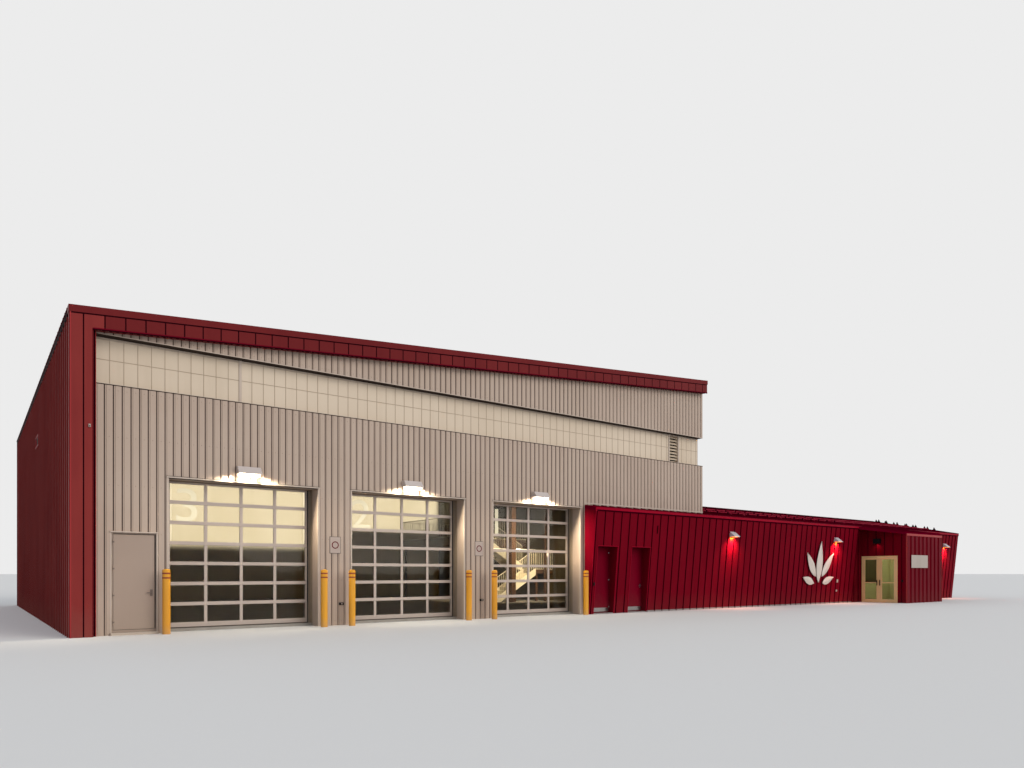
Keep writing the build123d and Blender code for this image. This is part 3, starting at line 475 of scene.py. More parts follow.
@dataclass(frozen=True)
class Section:
    """One pitch of a rolled sheet: how far it stands out at places across it.

    joint is the stretch across the pitch, such as a joint between two panels, a groove or a seam's
    side, that takes the piece's second material, which mostly paints shade there.
    """

    pitch: float
    points: tuple[Span, ...]
    joint: Span = (0.0, 0.0)

    def cuts(self, span: Span, phase: float) -> list[float]:
        """List the places in a span where the section bends."""
        first = math.floor((span[0] - phase) / self.pitch)
        last = math.ceil((span[1] - phase) / self.pitch)
        places = [phase + step * self.pitch + point[0]
                  for step in range(first, last + 1) for point in self.points]
        return [place for place in places if span[0] < place < span[1]]

    def across(self, place: float, phase: float) -> float:
        """Return how far a place lies past the last joint."""
        return (place - phase) % self.pitch

    def out(self, place: float, phase: float) -> float:
        """Return how far the sheet stands out at a place."""
        across = self.across(place, phase)
        points = list(self.points) + [(self.pitch, self.points[0][1])]
        for (start, low), (end, high) in zip(points, points[1:]):
            if across <= end:
                return low + (high - low) * (across - start) / (end - start)
        return points[-1][1]


FOLD = 0.0005


def flat_section(thickness: float, width: float) -> Section:
    """Return the section of a plain sheet in panels of a width."""
    return Section(width, ((0.0, thickness),))


def seam_section(pitch: float, pan: float, height: float, width: float) -> Section:
    """Return the section of a standing seam sheet."""
    return Section(pitch, ((0.0, pan), (FOLD, height), (width, height), (width + FOLD, pan)))


@dataclass(frozen=True)
class Hole:
    """A rectangle left out of a sheet."""

    u: Span
    v: Span


def level(value: float) -> Edge:
    """Return an edge that stays at one value."""
    return lambda place: value


GROUND = level(0.0)


class Facing(Enum):
    """Which way an upright wall looks."""

    FRONT = "front"
    BACK = "back"
    LEFT = "left"
    RIGHT = "right"


def upright(facing: Facing, place: float) -> Surface:
    """Return an upright wall's surface.

    Args:
        facing: Which way the wall looks.
        place: The wall face's Y for front and back, and its X for left and right.

    Returns:
        A function of the place along the wall, the height and how far it stands out.
    """
    ways = {
        Facing.FRONT: lambda u, v, out: Vector((u, place - out, v)),
        Facing.BACK: lambda u, v, out: Vector((u, place + out, v)),
        Facing.LEFT: lambda u, v, out: Vector((place - out, u, v)),
        Facing.RIGHT: lambda u, v, out: Vector((place + out, u, v)),
    }
    return ways[facing]


CUT_DIGITS, CORNER_DIGITS = 6, 5


class MeshBuilder:
    """Collects the corners and faces of one piece before it becomes an object."""

    def __init__(self) -> None:
        """Start empty."""
        self.corners: list[tuple[float, float, float]] = []
        self.faces: list[tuple[int, ...]] = []
        self.slots: list[int] = []

    def corner(self, point: Point) -> int:
        """Add a corner and return its number."""
        self.corners.append(tuple(point))
        return len(self.corners) - 1

    def face(self, numbers: Sequence[int], slot: int = 0) -> None:
        """Add a face on corners that are there, unless it has shrunk to a line."""
        kept = [number for place, number in enumerate(numbers) if number != numbers[place - 1]]
        if len(kept) > 2:
            self.faces.append(tuple(kept))
            self.slots.append(slot)

    def prism(self, outline: Sequence[Point], along: Point, slot: int = 0) -> None:
        """Add a closed outline pushed along a vector.

        Args:
            outline: The outline's corners in order.
            along: The way and length of the push.
            slot: The material slot of its faces.
        """
        near = [self.corner(point) for point in outline]
        far = [self.corner(Vector(point) + Vector(along)) for point in outline]
        self.face(near, slot)
        self.face(far[::-1], slot)
        for place in range(len(near)):
            after = (place + 1) % len(near)
            self.face([near[place], near[after], far[after], far[place]], slot)

    def box(self, x: Span, y: Span, z: Span, slot: int = 0) -> None:
        """Add a box between two values along each axis."""
        self.prism([(x[0], y[0], z[0]), (x[1], y[0], z[0]), (x[1], y[1], z[0]), (x[0], y[1], z[0])],
                   (0, 0, z[1] - z[0]), slot)

    def bar(self, start: Point, end: Point, across: Point, up: Point, slot: int = 0) -> None:
        """Add a straight bar between two points whose section is spanned by two vectors."""
        corner, side, rise = Vector(start), Vector(across), Vector(up)
        self.prism([corner, corner + side, corner + side + rise, corner + rise], Vector(end) - corner, slot)

    def turned(self, profile: Sequence[Span], centre: Point, sides: int, bands: Sequence[int] = (),
               lying: bool = False) -> None:
        """Add a profile of radius and height turned about an axis.

        Args:
            profile: Radius and place along the axis of each ring.
            centre: Where the axis starts.
            sides: How many facets the turn has.
            bands: The material slot of each band between two rings.
            lying: Whether the axis points to the front and not up.
        """
        rings = []
        for radius, height in profile:
            ring = []
            for side in range(sides if radius else 1):
                angle = math.tau * side / sides
                spread = (radius * math.cos(angle), radius * math.sin(angle))
                offset = (spread[0], -height, spread[1]) if lying else (spread[0], spread[1], height)
                ring.append(self.corner(Vector(centre) + Vector(offset)))
            rings.append(ring if radius else ring * sides)
        for band, (low, high) in enumerate(zip(rings, rings[1:])):
            for side in range(sides):
                after = (side + 1) % sides
                self.face([low[side], low[after], high[after], high[side]], bands[band] if bands else 0)

    def sheet(self, surface: Surface, section: Section, span: Span, bottom: Edge, top: Edge,
              holes: Sequence[Hole] = (), phase: float = 0.0, breaks: Sequence[float] = ()) -> None:
        """Add a rolled sheet over a wall or roof, as one closed skin.

        Args:
            surface: Where a place along, a place up and a stand-out lie.
            section: The sheet's section.
            span: Where the sheet starts and ends.
            bottom: The lower edge's place up, by the place along.
            top: The upper edge's place up, by the place along.
            holes: Rectangles left out.
            phase: The place of one joint.
            breaks: Places where an edge jumps.
        """
        cuts = [*span, *section.cuts(span, phase), *breaks]
        cuts += [edge for hole in holes for edge in hole.u if span[0] < edge < span[1]]
        cuts = sorted(set(round(cut, CUT_DIGITS) for cut in cuts))
        known: dict[tuple[float, float, float], int] = {}

        def spot(u: float, v: float, out: float) -> int:
            """Return the number of a corner, shared by the faces that meet there."""
            key = tuple(round(value, CORNER_DIGITS) for value in (u, v, out))
            if key not in known:
                known[key] = self.corner(surface(*key))
            return known[key]

        def close(u: float, low: float, high: float, out: float) -> None:
            """Close the sheet's edge at a place."""
            self.face([spot(u, low, 0), spot(u, low, out), spot(u, high, out), spot(u, high, 0)])

        def stretches(u: float, middle: float) -> list[Span]:
            """List the stretches up the sheet at a place, as seen from the column with that middle."""
            runs = [(bottom(u), top(u))]
            for hole in holes:
                if hole.u[0] < middle < hole.u[1]:
                    runs = [part for low, high in runs
                            for part in ((low, min(high, hole.v[0])), (max(low, hole.v[1]), high))]
            return runs

        before: list[Span] = []
        for left, right in zip(cuts, cuts[1:]):
            middle = (left + right) / 2
            near, far = stretches(left + TINY, middle), stretches(right - TINY, middle)
            columns = [(a, b) for a, b in zip(near, far) if min(a[1] - a[0], b[1] - b[0]) > -TINY
                       and max(a[1] - a[0], b[1] - b[0]) > THINNEST]
            outs = (section.out(left, phase), section.out(right, phase))
            in_joint = section.joint[0] <= section.across(middle, phase) < section.joint[1]
            for (low_a, high_a), (low_b, high_b) in columns:
                front, back = ([spot(left, low_a, a), spot(right, low_b, b), spot(right, high_b, b),
                                spot(left, high_a, a)] for a, b in (outs, (0, 0)))
                self.face(front, int(in_joint))
                self.face(back[::-1])
                self.face([back[0], back[1], front[1], front[0]])
                self.face([front[3], front[2], back[2], back[3]])
            now = [column[0] for column in columns]
            for low, high in list(only_in(now, before)) + list(only_in(before, now)):
                close(left, low, high, outs[0])
            before = [column[1] for column in columns]
            last_out = outs[1]
        for low, high in before:
            close(cuts[-1], low, high, last_out)

    def build(self, name: str, materials: Sequence[bpy.types.Material]) -> bpy.types.Object:
        """Make the object.

        Args:
            name: The piece's name.
            materials: Its materials in slot order.

        Returns:
            The new object.
        """
        mesh = bpy.data.meshes.new(name)
        mesh.from_pydata(self.corners, [], self.faces)
        for material in materials:
            mesh.materials.append(material)
        mesh.polygons.foreach_set("material_index", self.slots)
        skin = bmesh.new()
        skin.from_mesh(mesh)
        bmesh.ops.recalc_face_normals(skin, faces=skin.faces)
        skin.to_mesh(mesh)
        skin.free()
        made = bpy.data.objects.new(name, mesh)
        bpy.context.scene.collection.objects.link(made)
        return made


def only_in(first: Sequence[Span], second: Sequence[Span]) -> Iterator[Span]:
    """Yield the parts of some stretches that no second stretch covers."""
    for low, high in first:
        parts = [(low, high)]
        for other_low, other_high in second:
            parts = [part for start, end in parts
                     for part in ((start, min(end, other_low)), (max(start, other_high), end))
                     if part[1] - part[0] > THINNEST / 2]
        yield from parts


ROUND, FINE_ROUND = 0.001, 0.0008
SHARP, CURVED = math.radians(40), math.radians(35)


def soften(made: bpy.types.Object, width: float) -> None:
    """Round an object's edges a little, so that they catch the light."""
    rounding = made.modifiers.new("rounded_edges", "BEVEL")
    rounding.width = width
    rounding.segments = 1
    rounding.limit_method = "ANGLE"
    rounding.angle_limit = SHARP


def dress(nodes: Sequence[str], finish: Finish, rounding: float = 0.0) -> None:
    """Give carried-over nodes a finish.

    Args:
        nodes: The nodes' names.
        finish: Their finish.
        rounding: How far their edges are rounded, or none.
    """
    for node in nodes:
        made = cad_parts[node]
        for slot in made.material_slots:
            slot.material = finish.material()
        if rounding:
            soften(made, rounding)
        LOG.info("%s: finished in %s", node, finish.name)


@dataclass(frozen=True)
class Layout:
    """The building's main planes, read from the frame."""

    roof_thickness: float = 0.2
    cant_foot: float = 0.12
    bay_width: float = 1.92
    frame_height: float = 0.17
    wall: Extent = read_box("hall_gable_wall")
    back: Extent = read_box("hall_back_wall")
    hall_roof: Extent = read_box("hall_roof")
    fascia: Extent = read_box("front_fascia")
    cap: Extent = read_box("fascia_cap")
    trims: Extent = read_box("hall_eave_trims")
    pilaster: Extent = read_box("corner_pilaster")
    band: Extent = read_box("clerestory_panels")
    annex_eave: Extent = read_box("annex_eave_trim")
    annex_roof: Extent = read_box("annex_roof_front")
    annex_back: Extent = read_box("annex_roof_back")
    annex_wall: Extent = read_box("annex_front_wall")
    block: Extent = read_box("entrance_front_wall")
    block_roof: Extent = read_box("entrance_roof")

    @property
    def slope(self) -> float:
        """Return the hall roof's rise for each metre along X."""
        roof = self.hall_roof
        return (roof.z1 - roof.z0 - self.roof_thickness) / (roof.x1 - roof.x0)

    def rising(self, height: float) -> Edge:
        """Return a line that follows the hall roof, by its height at the left corner."""
        return lambda place: height + self.slope * place

    @property
    def bays(self) -> list[Extent]:
        """Return the boxes of the three bay doors, from the left."""
        return [Extent.of(f"bay_door_{number}") for number in (1, 2, 3)]

    def bay_opening(self, door: Extent) -> Span:
        """Return the sides of the opening that a bay door stands in."""
        middle = (door.x0 + door.x1) / 2
        return (middle - self.bay_width / 2, middle + self.bay_width / 2)

    @property
    def annex_slope(self) -> float:
        """Return the annex roof's rise for each metre along Y."""
        return (self.annex_roof.z1 - self.annex_eave.z1) / (self.annex_roof.y1 - self.annex_roof.y0)

    @property
    def back_of_annex(self) -> float:
        """Return the Y of the annex's back face."""
        return Extent.of("annex_back_wall").y1

    def annex_top(self, y: float) -> float:
        """Return the top of the annex roof at a value of Y."""
        run = min(y - self.annex_roof.y0, self.annex_back.y1 - y)
        return self.annex_eave.z1 + self.annex_slope * run

    def lean_to_foot(self, y: float) -> float:
        """Return the underside of the entrance block's roof at a value of Y."""
        roof, eave = self.block_roof, self.annex_eave
        rise = (eave.z0 - roof.z0) / (eave.y1 - self.block.y0)
        return roof.z0 + rise * (min(y, eave.y1) - self.block.y0)

    def canted(self, u: float, v: float, out: float) -> Vector:
        """Return a place on the annex's leaning front."""
        lean = (-self.annex_wall.y0 - self.cant_foot) / self.annex_eave.z0
        return Vector((u, -self.cant_foot - lean * min(v, self.annex_eave.z0) - out, v))


@dataclass
class Assembly:
    """A sub-assembly that builds its meshes and dresses its nodes."""

    layout: Layout

    def place(self, shape: MeshBuilder, name: str, slot: str, *finishes: Finish, body: str = BUILDING,
              rounding: float = 0.0, smooth: bool = False) -> bpy.types.Object:
        """Make one piece and let it ride on its body.

        Args:
            shape: The piece's corners and faces.
            name: Its name.
            slot: The material slot's name, which is not used.
            finishes: Its finishes in slot order.
            body: The body that carries it.
            rounding: How far its edges are rounded, or none.
            smooth: Whether gentle bends are shaded as curves.

        Returns:
            The piece.
        """
        made = shape.build(name, [finish.material() for finish in finishes])
        if smooth:
            for polygon in made.data.polygons:
                polygon.use_smooth = True
            made.data.set_sharp_from_angle(angle=CURVED)
        if rounding:
            soften(made, rounding)
        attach(made, body)
        LOG.info("%s: %d faces on %s", name, len(made.data.polygons), body)
        return made

    def boxes(self, parts: Iterable[Sequence], *names: str | Finish, **settings) -> bpy.types.Object:
        """Make one piece of boxes, each by its spans along X, Y and Z and its material slot."""
        shape = MeshBuilder()
        for part in parts:
            shape.box(*part)
        return self.place(shape, *names, **settings)


RIB = Section(0.09375, ((0.0, 0.012), (0.001, 0.002), (0.013, 0.002), (0.014, 0.012), (0.0225, 0.012),
                        (0.0235, 0.006), (0.0285, 0.006), (0.0295, 0.012)), (0.0, 0.0135))
WALL_SEAM = Section(0.21, ((0.0, 0.003), (0.01, 0.003), (0.0105, 0.018), (0.0165, 0.018), (0.017, 0.003)),
                    (0.0, 0.0104))
SIDE_SEAM = seam_section(0.215, 0.003, 0.018, 0.006)
FRAME_SEAM = Section(0.216, ((0.0, 0.001), (0.013, 0.001), (0.014, 0.006), (0.215, 0.006)), (0.0, 0.0139))
ROOF_SEAM = seam_section(0.21, 0.003, 0.017, 0.006)
BLOCK_SEAM = Section(0.2165, ((0.0, 0.024), (0.12, 0.024), (0.132, 0.003), (0.2045, 0.003)), (0.12, 0.2165))
BLOCK_SIDE_SEAM = Section(BLOCK_SEAM.pitch, BLOCK_SEAM.points)
FRAME_SIDE = flat_section(0.003, 1.0)
FRAME_EDGE = 0.27


@dataclass
class HallCladding(Assembly):
    """The hall's ribbed walls, its roof seams, screws and flashings."""

    screw_rows: tuple[float, ...] = (0.07, 0.64, 1.21, 1.78, 2.35, 2.9)
    screw: float = 0.005
    screw_share: float = 0.6
    screw_out: Span = (-0.0145, -0.011)
    clear: float = 0.03
    wedge_foot: float = 0.04
    wedge_row: float = 0.05
    first_groove: float = 0.0728
    overhang: float = 0.02
    trim: float = 0.006
    thin: float = 0.004
    proud: float = 0.018
    gap: float = 0.003
    shadow: float = 0.009
    roof_flashing: Span = (0.02, 0.04)
    louver_out: float = 0.02

    def holes(self) -> list[Hole]:
        """List the openings in the lower front wall."""
        plan, door = self.layout, Extent.of("man_door_frame")
        head = Extent.of("hall_front_piers").z1
        return [Hole(door.x, (0.0, door.z1)),
                *(Hole(plan.bay_opening(bay), (0.0, head)) for bay in plan.bays),
                Hole((plan.annex_eave.x0, plan.wall.x1), (0.0, plan.annex_top(0.0)))]

    def front(self) -> None:
        """Clad the lower front wall and the wedge above the translucent band."""
        plan, holes, phase = self.layout, self.holes(), self.first_groove
        span, foot = (FRAME_EDGE, plan.wall.x1), plan.rising(plan.fascia.z0)
        sheets, face = MeshBuilder(), upright(Facing.FRONT, 0.0)
        sheets.sheet(face, RIB, span, GROUND, level(plan.band.z0), holes, phase)
        sheets.sheet(face, RIB, span, level(plan.band.z1), foot, phase=phase)
        # The ribs' grooves take the second finish, painted shade.
        self.place(sheets, "hall_front_sheets", "beige_metal", BEIGE, BEIGE_SHADE)
        self.screws(holes, span, foot)

    def screws(self, holes: Sequence[Hole], span: Span, foot: Edge) -> None:
        """Put a screw on each rib in rows, and two rows in the wedge."""
        half, head, clear = self.screw / 2, self.layout.band.z1, self.clear
        first = math.ceil((span[0] - self.first_groove) / RIB.pitch)
        dots = MeshBuilder()
        for step in range(int((span[1] - span[0]) / RIB.pitch)):
            x = self.first_groove + (first + step + self.screw_share) * RIB.pitch
            heights = [row for row in self.screw_rows if not any(
                hole.u[0] - clear < x < hole.u[1] + clear and row < hole.v[1] + clear for hole in holes)]
            heights += [z for z in (head + self.wedge_row, foot(x) - self.wedge_row)
                        if head + self.wedge_foot < z < foot(x) - clear]
            for z in heights:
                dots.box(about(x, half), self.screw_out, about(z, half))
        self.place(dots, "front_wall_screws", "beige_metal", BEIGE_SHADE)

    def others(self) -> None:
        """Clad the left, right and back walls, and lay the roof's seams."""
        plan, louver = self.layout, Extent.of("left_wall_louver")
        end, deep, behind = plan.wall.x1, plan.back.y1, plan.annex_back.y1
        under_roof = plan.rising(plan.hall_roof.z0)
        red, beige, roof = MeshBuilder(), MeshBuilder(), MeshBuilder()
        red.sheet(upright(Facing.LEFT, 0.0), SIDE_SEAM, (0.0, deep), GROUND, level(plan.trims.z0),
                  [Hole(louver.y, louver.z)])
        self.place(red, "hall_left_sheets", "red_metal", RED_FRAME)
        beige.sheet(upright(Facing.BACK, deep), RIB, (0.0, end), GROUND, under_roof)
        beige.sheet(upright(Facing.RIGHT, end), RIB, (0.0, deep),
                    lambda y: plan.annex_top(y) if y < behind else 0.0, level(under_roof(end)),
                    [Hole((0.0, plan.band.y0), plan.band.z)], breaks=(behind, plan.annex_back.y0))
        self.place(beige, "hall_back_and_right_sheets", "beige_metal", BEIGE, BEIGE_SHADE)
        top, past = plan.rising(plan.hall_roof.z0 + plan.roof_thickness), self.overhang
        roof.sheet(lambda u, v, out: Vector((v, u, top(v) + out)), ROOF_SEAM, (0.0, deep + past),
                   level(-past), level(end + past))
        self.place(roof, "hall_roof_sheets", "roof_metal", ROOF_RED)

    def flashings(self) -> None:
        """Add the flashings at the foot and head of the band and at the annex roof, with painted shade
        strips under the band's head and the sill flashing, and the louver's trim.
        """
        plan, out, thin = self.layout, -self.proud, self.thin
        wide, back, foot = (FRAME_EDGE, plan.wall.x1), plan.band.y0, plan.annex_top(0.0)
        sill, head = plan.band.z
        self.boxes(((wide, (out, back), (sill, sill + thin)),
                    (wide, (out, out + thin), (head - thin, head + self.trim)),
                    ((plan.annex_eave.x0, plan.wall.x1), (out, 0.0),
                     (foot + self.roof_flashing[0], foot + self.roof_flashing[1]))),
                   "band_flashings", "beige_metal", BEIGE_TRIM)
        # Painted shade: a dark strip at the band's head under the wedge wall, and one below the sill
        # flashing.
        self.boxes(((wide, (out + thin, back), (head - self.gap, head)),
                    (wide, (self.screw_out[0], 0.0), (sill - self.shadow, sill))),
                   "band_shadow_strips", "beige_metal", SOFFIT_SHADE)
        louver, half, depth = Extent.of("left_wall_louver"), self.trim, (-self.louver_out, 0.0)
        self.boxes([*((depth, about(y, half), (louver.z0 - half, louver.z1 + half)) for y in louver.y),
                    *((depth, louver.y, about(z, half)) for z in louver.z)],
                   "left_louver_trim", "red_metal", RED_TRIM, rounding=ROUND)

    def add(self) -> None:
        """Build the hall's skin and dress its nodes."""
        dress(("hall_front_piers", "hall_wall_over_doors", "hall_wall_over_bays", "hall_gable_wall"), BEIGE)
        dress(("hall_back_wall",), CREAM_WALL)
        dress(("hall_right_wall",), INNER_WALL)
        dress(("hall_left_wall",), RED_FRAME)
        dress(("hall_roof",), ROOF_RED)
        dress(("hall_eave_trims",), EAVE_DARK)
        dress(("hall_floor", "annex_floor", "entrance_floor"), CONCRETE)
        dress(("left_wall_louver",), LOUVER)
        self.front()
        self.others()
        self.flashings()


@dataclass
class CornerFrame(Assembly):
    """The red pilaster and the fascia that rises along the roof.

    strip_out is how far the strip's front and back stand before the sheets, corner_wrap how far it
    goes round the corner to the right and to the back, and cap_line the height and stand-out of the
    painted shadow line under the cap.
    """

    first_seam: float = 0.129
    inner_edge: float = 0.042
    lip: float = 0.012
    lip_out: float = 0.013
    strip: float = 0.007
    strip_out: Span = (0.009, 0.002)
    corner_wrap: Span = (0.014, 0.02)
    reveal: Span = (-0.066, -0.058)
    reveal_line: float = 0.002
    half_edge: float = 0.004
    cap_line: Span = (0.015, 0.0085)
    foot_line: float = 0.014
    tooth: float = 0.03
    tooth_height: float = 0.01
    tooth_drop: float = 0.02
    teeth_per_seam: int = 3

    def along(self, shape: MeshBuilder, start: float, height: float, y: Span, thickness: float) -> None:
        """Add a bar that follows the roof from a place to its right end."""
        line, (near, far) = self.layout.rising(height), y
        ends = [Vector((x, near, line(x))) for x in (start, self.layout.wall.x1)]
        shape.bar(*ends, (0, far - near, 0), (0, 0, thickness))

    def add(self) -> None:
        """Build the sheets, trims, lips and the painted shadow lines and teeth."""
        plan = self.layout
        fascia, pier, face = plan.fascia, plan.pilaster, plan.fascia.y0
        dress(("corner_pilaster",), RED_FRAME)
        dress(("front_fascia",), RED_FASCIA)
        dress(("fascia_cap",), RED_FASCIA, 3 * ROUND)
        foot, cap = plan.rising(fascia.z0), plan.rising(fascia.z0 + plan.frame_height)
        inner, corner, top = pier.x1 - self.inner_edge, self.first_seam + FRAME_SEAM.pitch, cap(0.0)
        sheets, upper, lips, lines = MeshBuilder(), MeshBuilder(), MeshBuilder(), MeshBuilder()
        for shape, span, low, high in ((sheets, (0.0, inner), GROUND, foot),
                                       (sheets, (0.0, corner), foot, cap),
                                       (upper, (corner, plan.wall.x1), foot, cap)):
            shape.sheet(upright(Facing.FRONT, face), FRAME_SEAM, span, low, high, phase=self.first_seam)
        # The joints take the second finish, painted shadow.
        self.place(upper, "fascia_sheets", "red_metal", RED_FASCIA, RED_SHADOW)
        sheets.sheet(upright(Facing.LEFT, 0.0), FRAME_SIDE, (face, 0.0), GROUND, level(top))
        self.place(sheets, "frame_sheets", "red_metal", RED_FRAME, RED_SHADOW)
        strip, (out, near), (wrap, deep) = self.strip, self.strip_out, self.corner_wrap
        self.boxes((((-strip, wrap), (face - out, face - near), (0.0, top)),
                    ((-strip, 0.0), (face - out, face + deep), (0.0, top)),
                    ((pier.x1 - strip, pier.x1), self.reveal, (0.0, foot(inner)))),
                   "frame_trims", "bright_red_trim", RED_TRIM, rounding=ROUND)
        half, behind, lip_half = self.half_edge, self.reveal[1], self.lip / 2
        lips.box(about(inner, half), (face - lip_half, behind), (0.0, foot(inner)))
        self.along(lips, inner, fascia.z0 - near, (face - self.lip_out, face), self.lip)
        self.place(lips, "frame_lips", "red_metal", RED_EDGE, rounding=ROUND)
        # Painted shadow: dark lines under the cap, in the reveal beside the pilaster and along the fascia's
        # foot, and dark teeth below it.
        line, line_out = self.cap_line
        self.along(lines, 0.0, fascia.z0 + plan.frame_height - line, (face - line_out, face), line)
        lines.box((inner + half, pier.x1 - strip), (self.reveal[0] + self.reveal_line, behind),
                  (0.0, foot(inner)))
        self.along(lines, inner, fascia.z0 - self.foot_line, (face - self.lip, face + near), self.lip)
        pitch = FRAME_SEAM.pitch / self.teeth_per_seam
        for step in range(math.ceil(inner / pitch), int(plan.wall.x1 / pitch)):
            x = (step + MIDDLE) * pitch
            low = foot(x) - self.tooth_drop
            lines.box((x, x + self.tooth), (face - lip_half, face), (low, low + self.tooth_height))
        self.place(lines, "frame_shadow_lines", "red_metal", RED_SHADOW)


@dataclass
class Clerestory(Assembly):
    """The joints, rails, mullion and louver of the translucent band.

    mullion holds half the width of the mullion and of the louver's posts, rail_drops how far the
    two upper rails lie below the band's top, and blade_depth where a blade starts and ends.
    """

    panel: float = 0.1524
    line: float = 0.007
    line_out: float = 0.003
    mullion_panel: int = 11
    mullion: Span = (0.017, 0.016)
    first: float = 0.012
    clear: float = 0.02
    rail_share: float = 0.545
    rail_out: float = 0.004
    rail_out_top: float = 0.01
    rail_drops: Span = (0.03, 0.012)
    post_out: float = 0.012
    blades: int = 9
    blade: float = 0.006
    blade_depth: Span = (0.004, 0.05)
    blade_gap: float = 0.002
    blade_rise: float = 0.72
    rim: float = 0.022

    def vent(self, louver: Extent) -> None:
        """Build the louver with its pale blades, which slope down to the front."""
        vent, rim, blade = MeshBuilder(), self.rim, self.blade
        clear_x, clear_z = (louver.x0 + rim, louver.x1 - rim), (louver.z0 + rim / 2, louver.z1 - rim / 2)
        for x in ((louver.x0, clear_x[0]), (clear_x[1], louver.x1)):
            vent.box(x, louver.y, louver.z)
        for z in ((louver.z0, clear_z[0]), (clear_z[1], louver.z1)):
            vent.box(clear_x, louver.y, z)
        pitch = (clear_z[1] - clear_z[0]) / self.blades
        near, far = (louver.y0 + depth for depth in self.blade_depth)
        for step in range(self.blades):
            foot = clear_z[0] + step * pitch + self.blade_gap
            head = foot + self.blade_rise * pitch
            outline = ((near, foot), (near, foot + blade), (far, head + blade), (far, head))
            vent.prism([(clear_x[0], *point) for point in outline], (clear_x[1] - clear_x[0], 0, 0))
        # A black plate behind the blades: painted shade in the louver's depth.
        vent.box(clear_x, (louver.y1 - blade, louver.y1), clear_z, 1)
        made = self.place(vent, "band_louver", "louver_metal", PALE_BLADE, BLACK)
        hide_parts("clerestory_louver")

    def add(self) -> None:
        """Build the band's lines and rails."""
        band, louver = self.layout.band, Extent.of("clerestory_louver")
        # The band's panels carry a painted glow.
        dress(("clerestory_panels",), BAND)
        self.vent(louver)
        left, right, face = FRAME_EDGE, band.x1, band.y0
        first, clear = left + self.first, self.clear
        joints = (first + step * self.panel for step in range(1, int((right - left) / self.panel) + 1))
        lines = [(about(x, self.line / 2), (face - self.line_out, face), band.z) for x in joints
                 if not louver.x0 - clear < x < louver.x1 + clear]
        middle = band.z0 + self.rail_share * (band.z1 - band.z0)
        lines += [(span, (face - self.rail_out, face), (middle - self.rail_out, middle + self.line_out))
                  for span in ((left, louver.x0), (louver.x1, right))]
        self.boxes(lines, "band_joints", "translucent_panel", BAND_LINE)
        mullion, (wide, narrow) = first + self.mullion_panel * self.panel, self.mullion
        rails = [((left, right), (face - self.rail_out_top, face), (z, z + self.line))
                 for z in (band.z1 - drop for drop in self.rail_drops)]
        rails += [(about(x, half), (face - self.post_out, face), band.z)
                  for x, half in ((mullion, wide), (louver.x0, narrow), (louver.x1, narrow))]
        self.boxes(rails, "band_rails", "beige_metal", BEIGE_TRIM, rounding=ROUND)


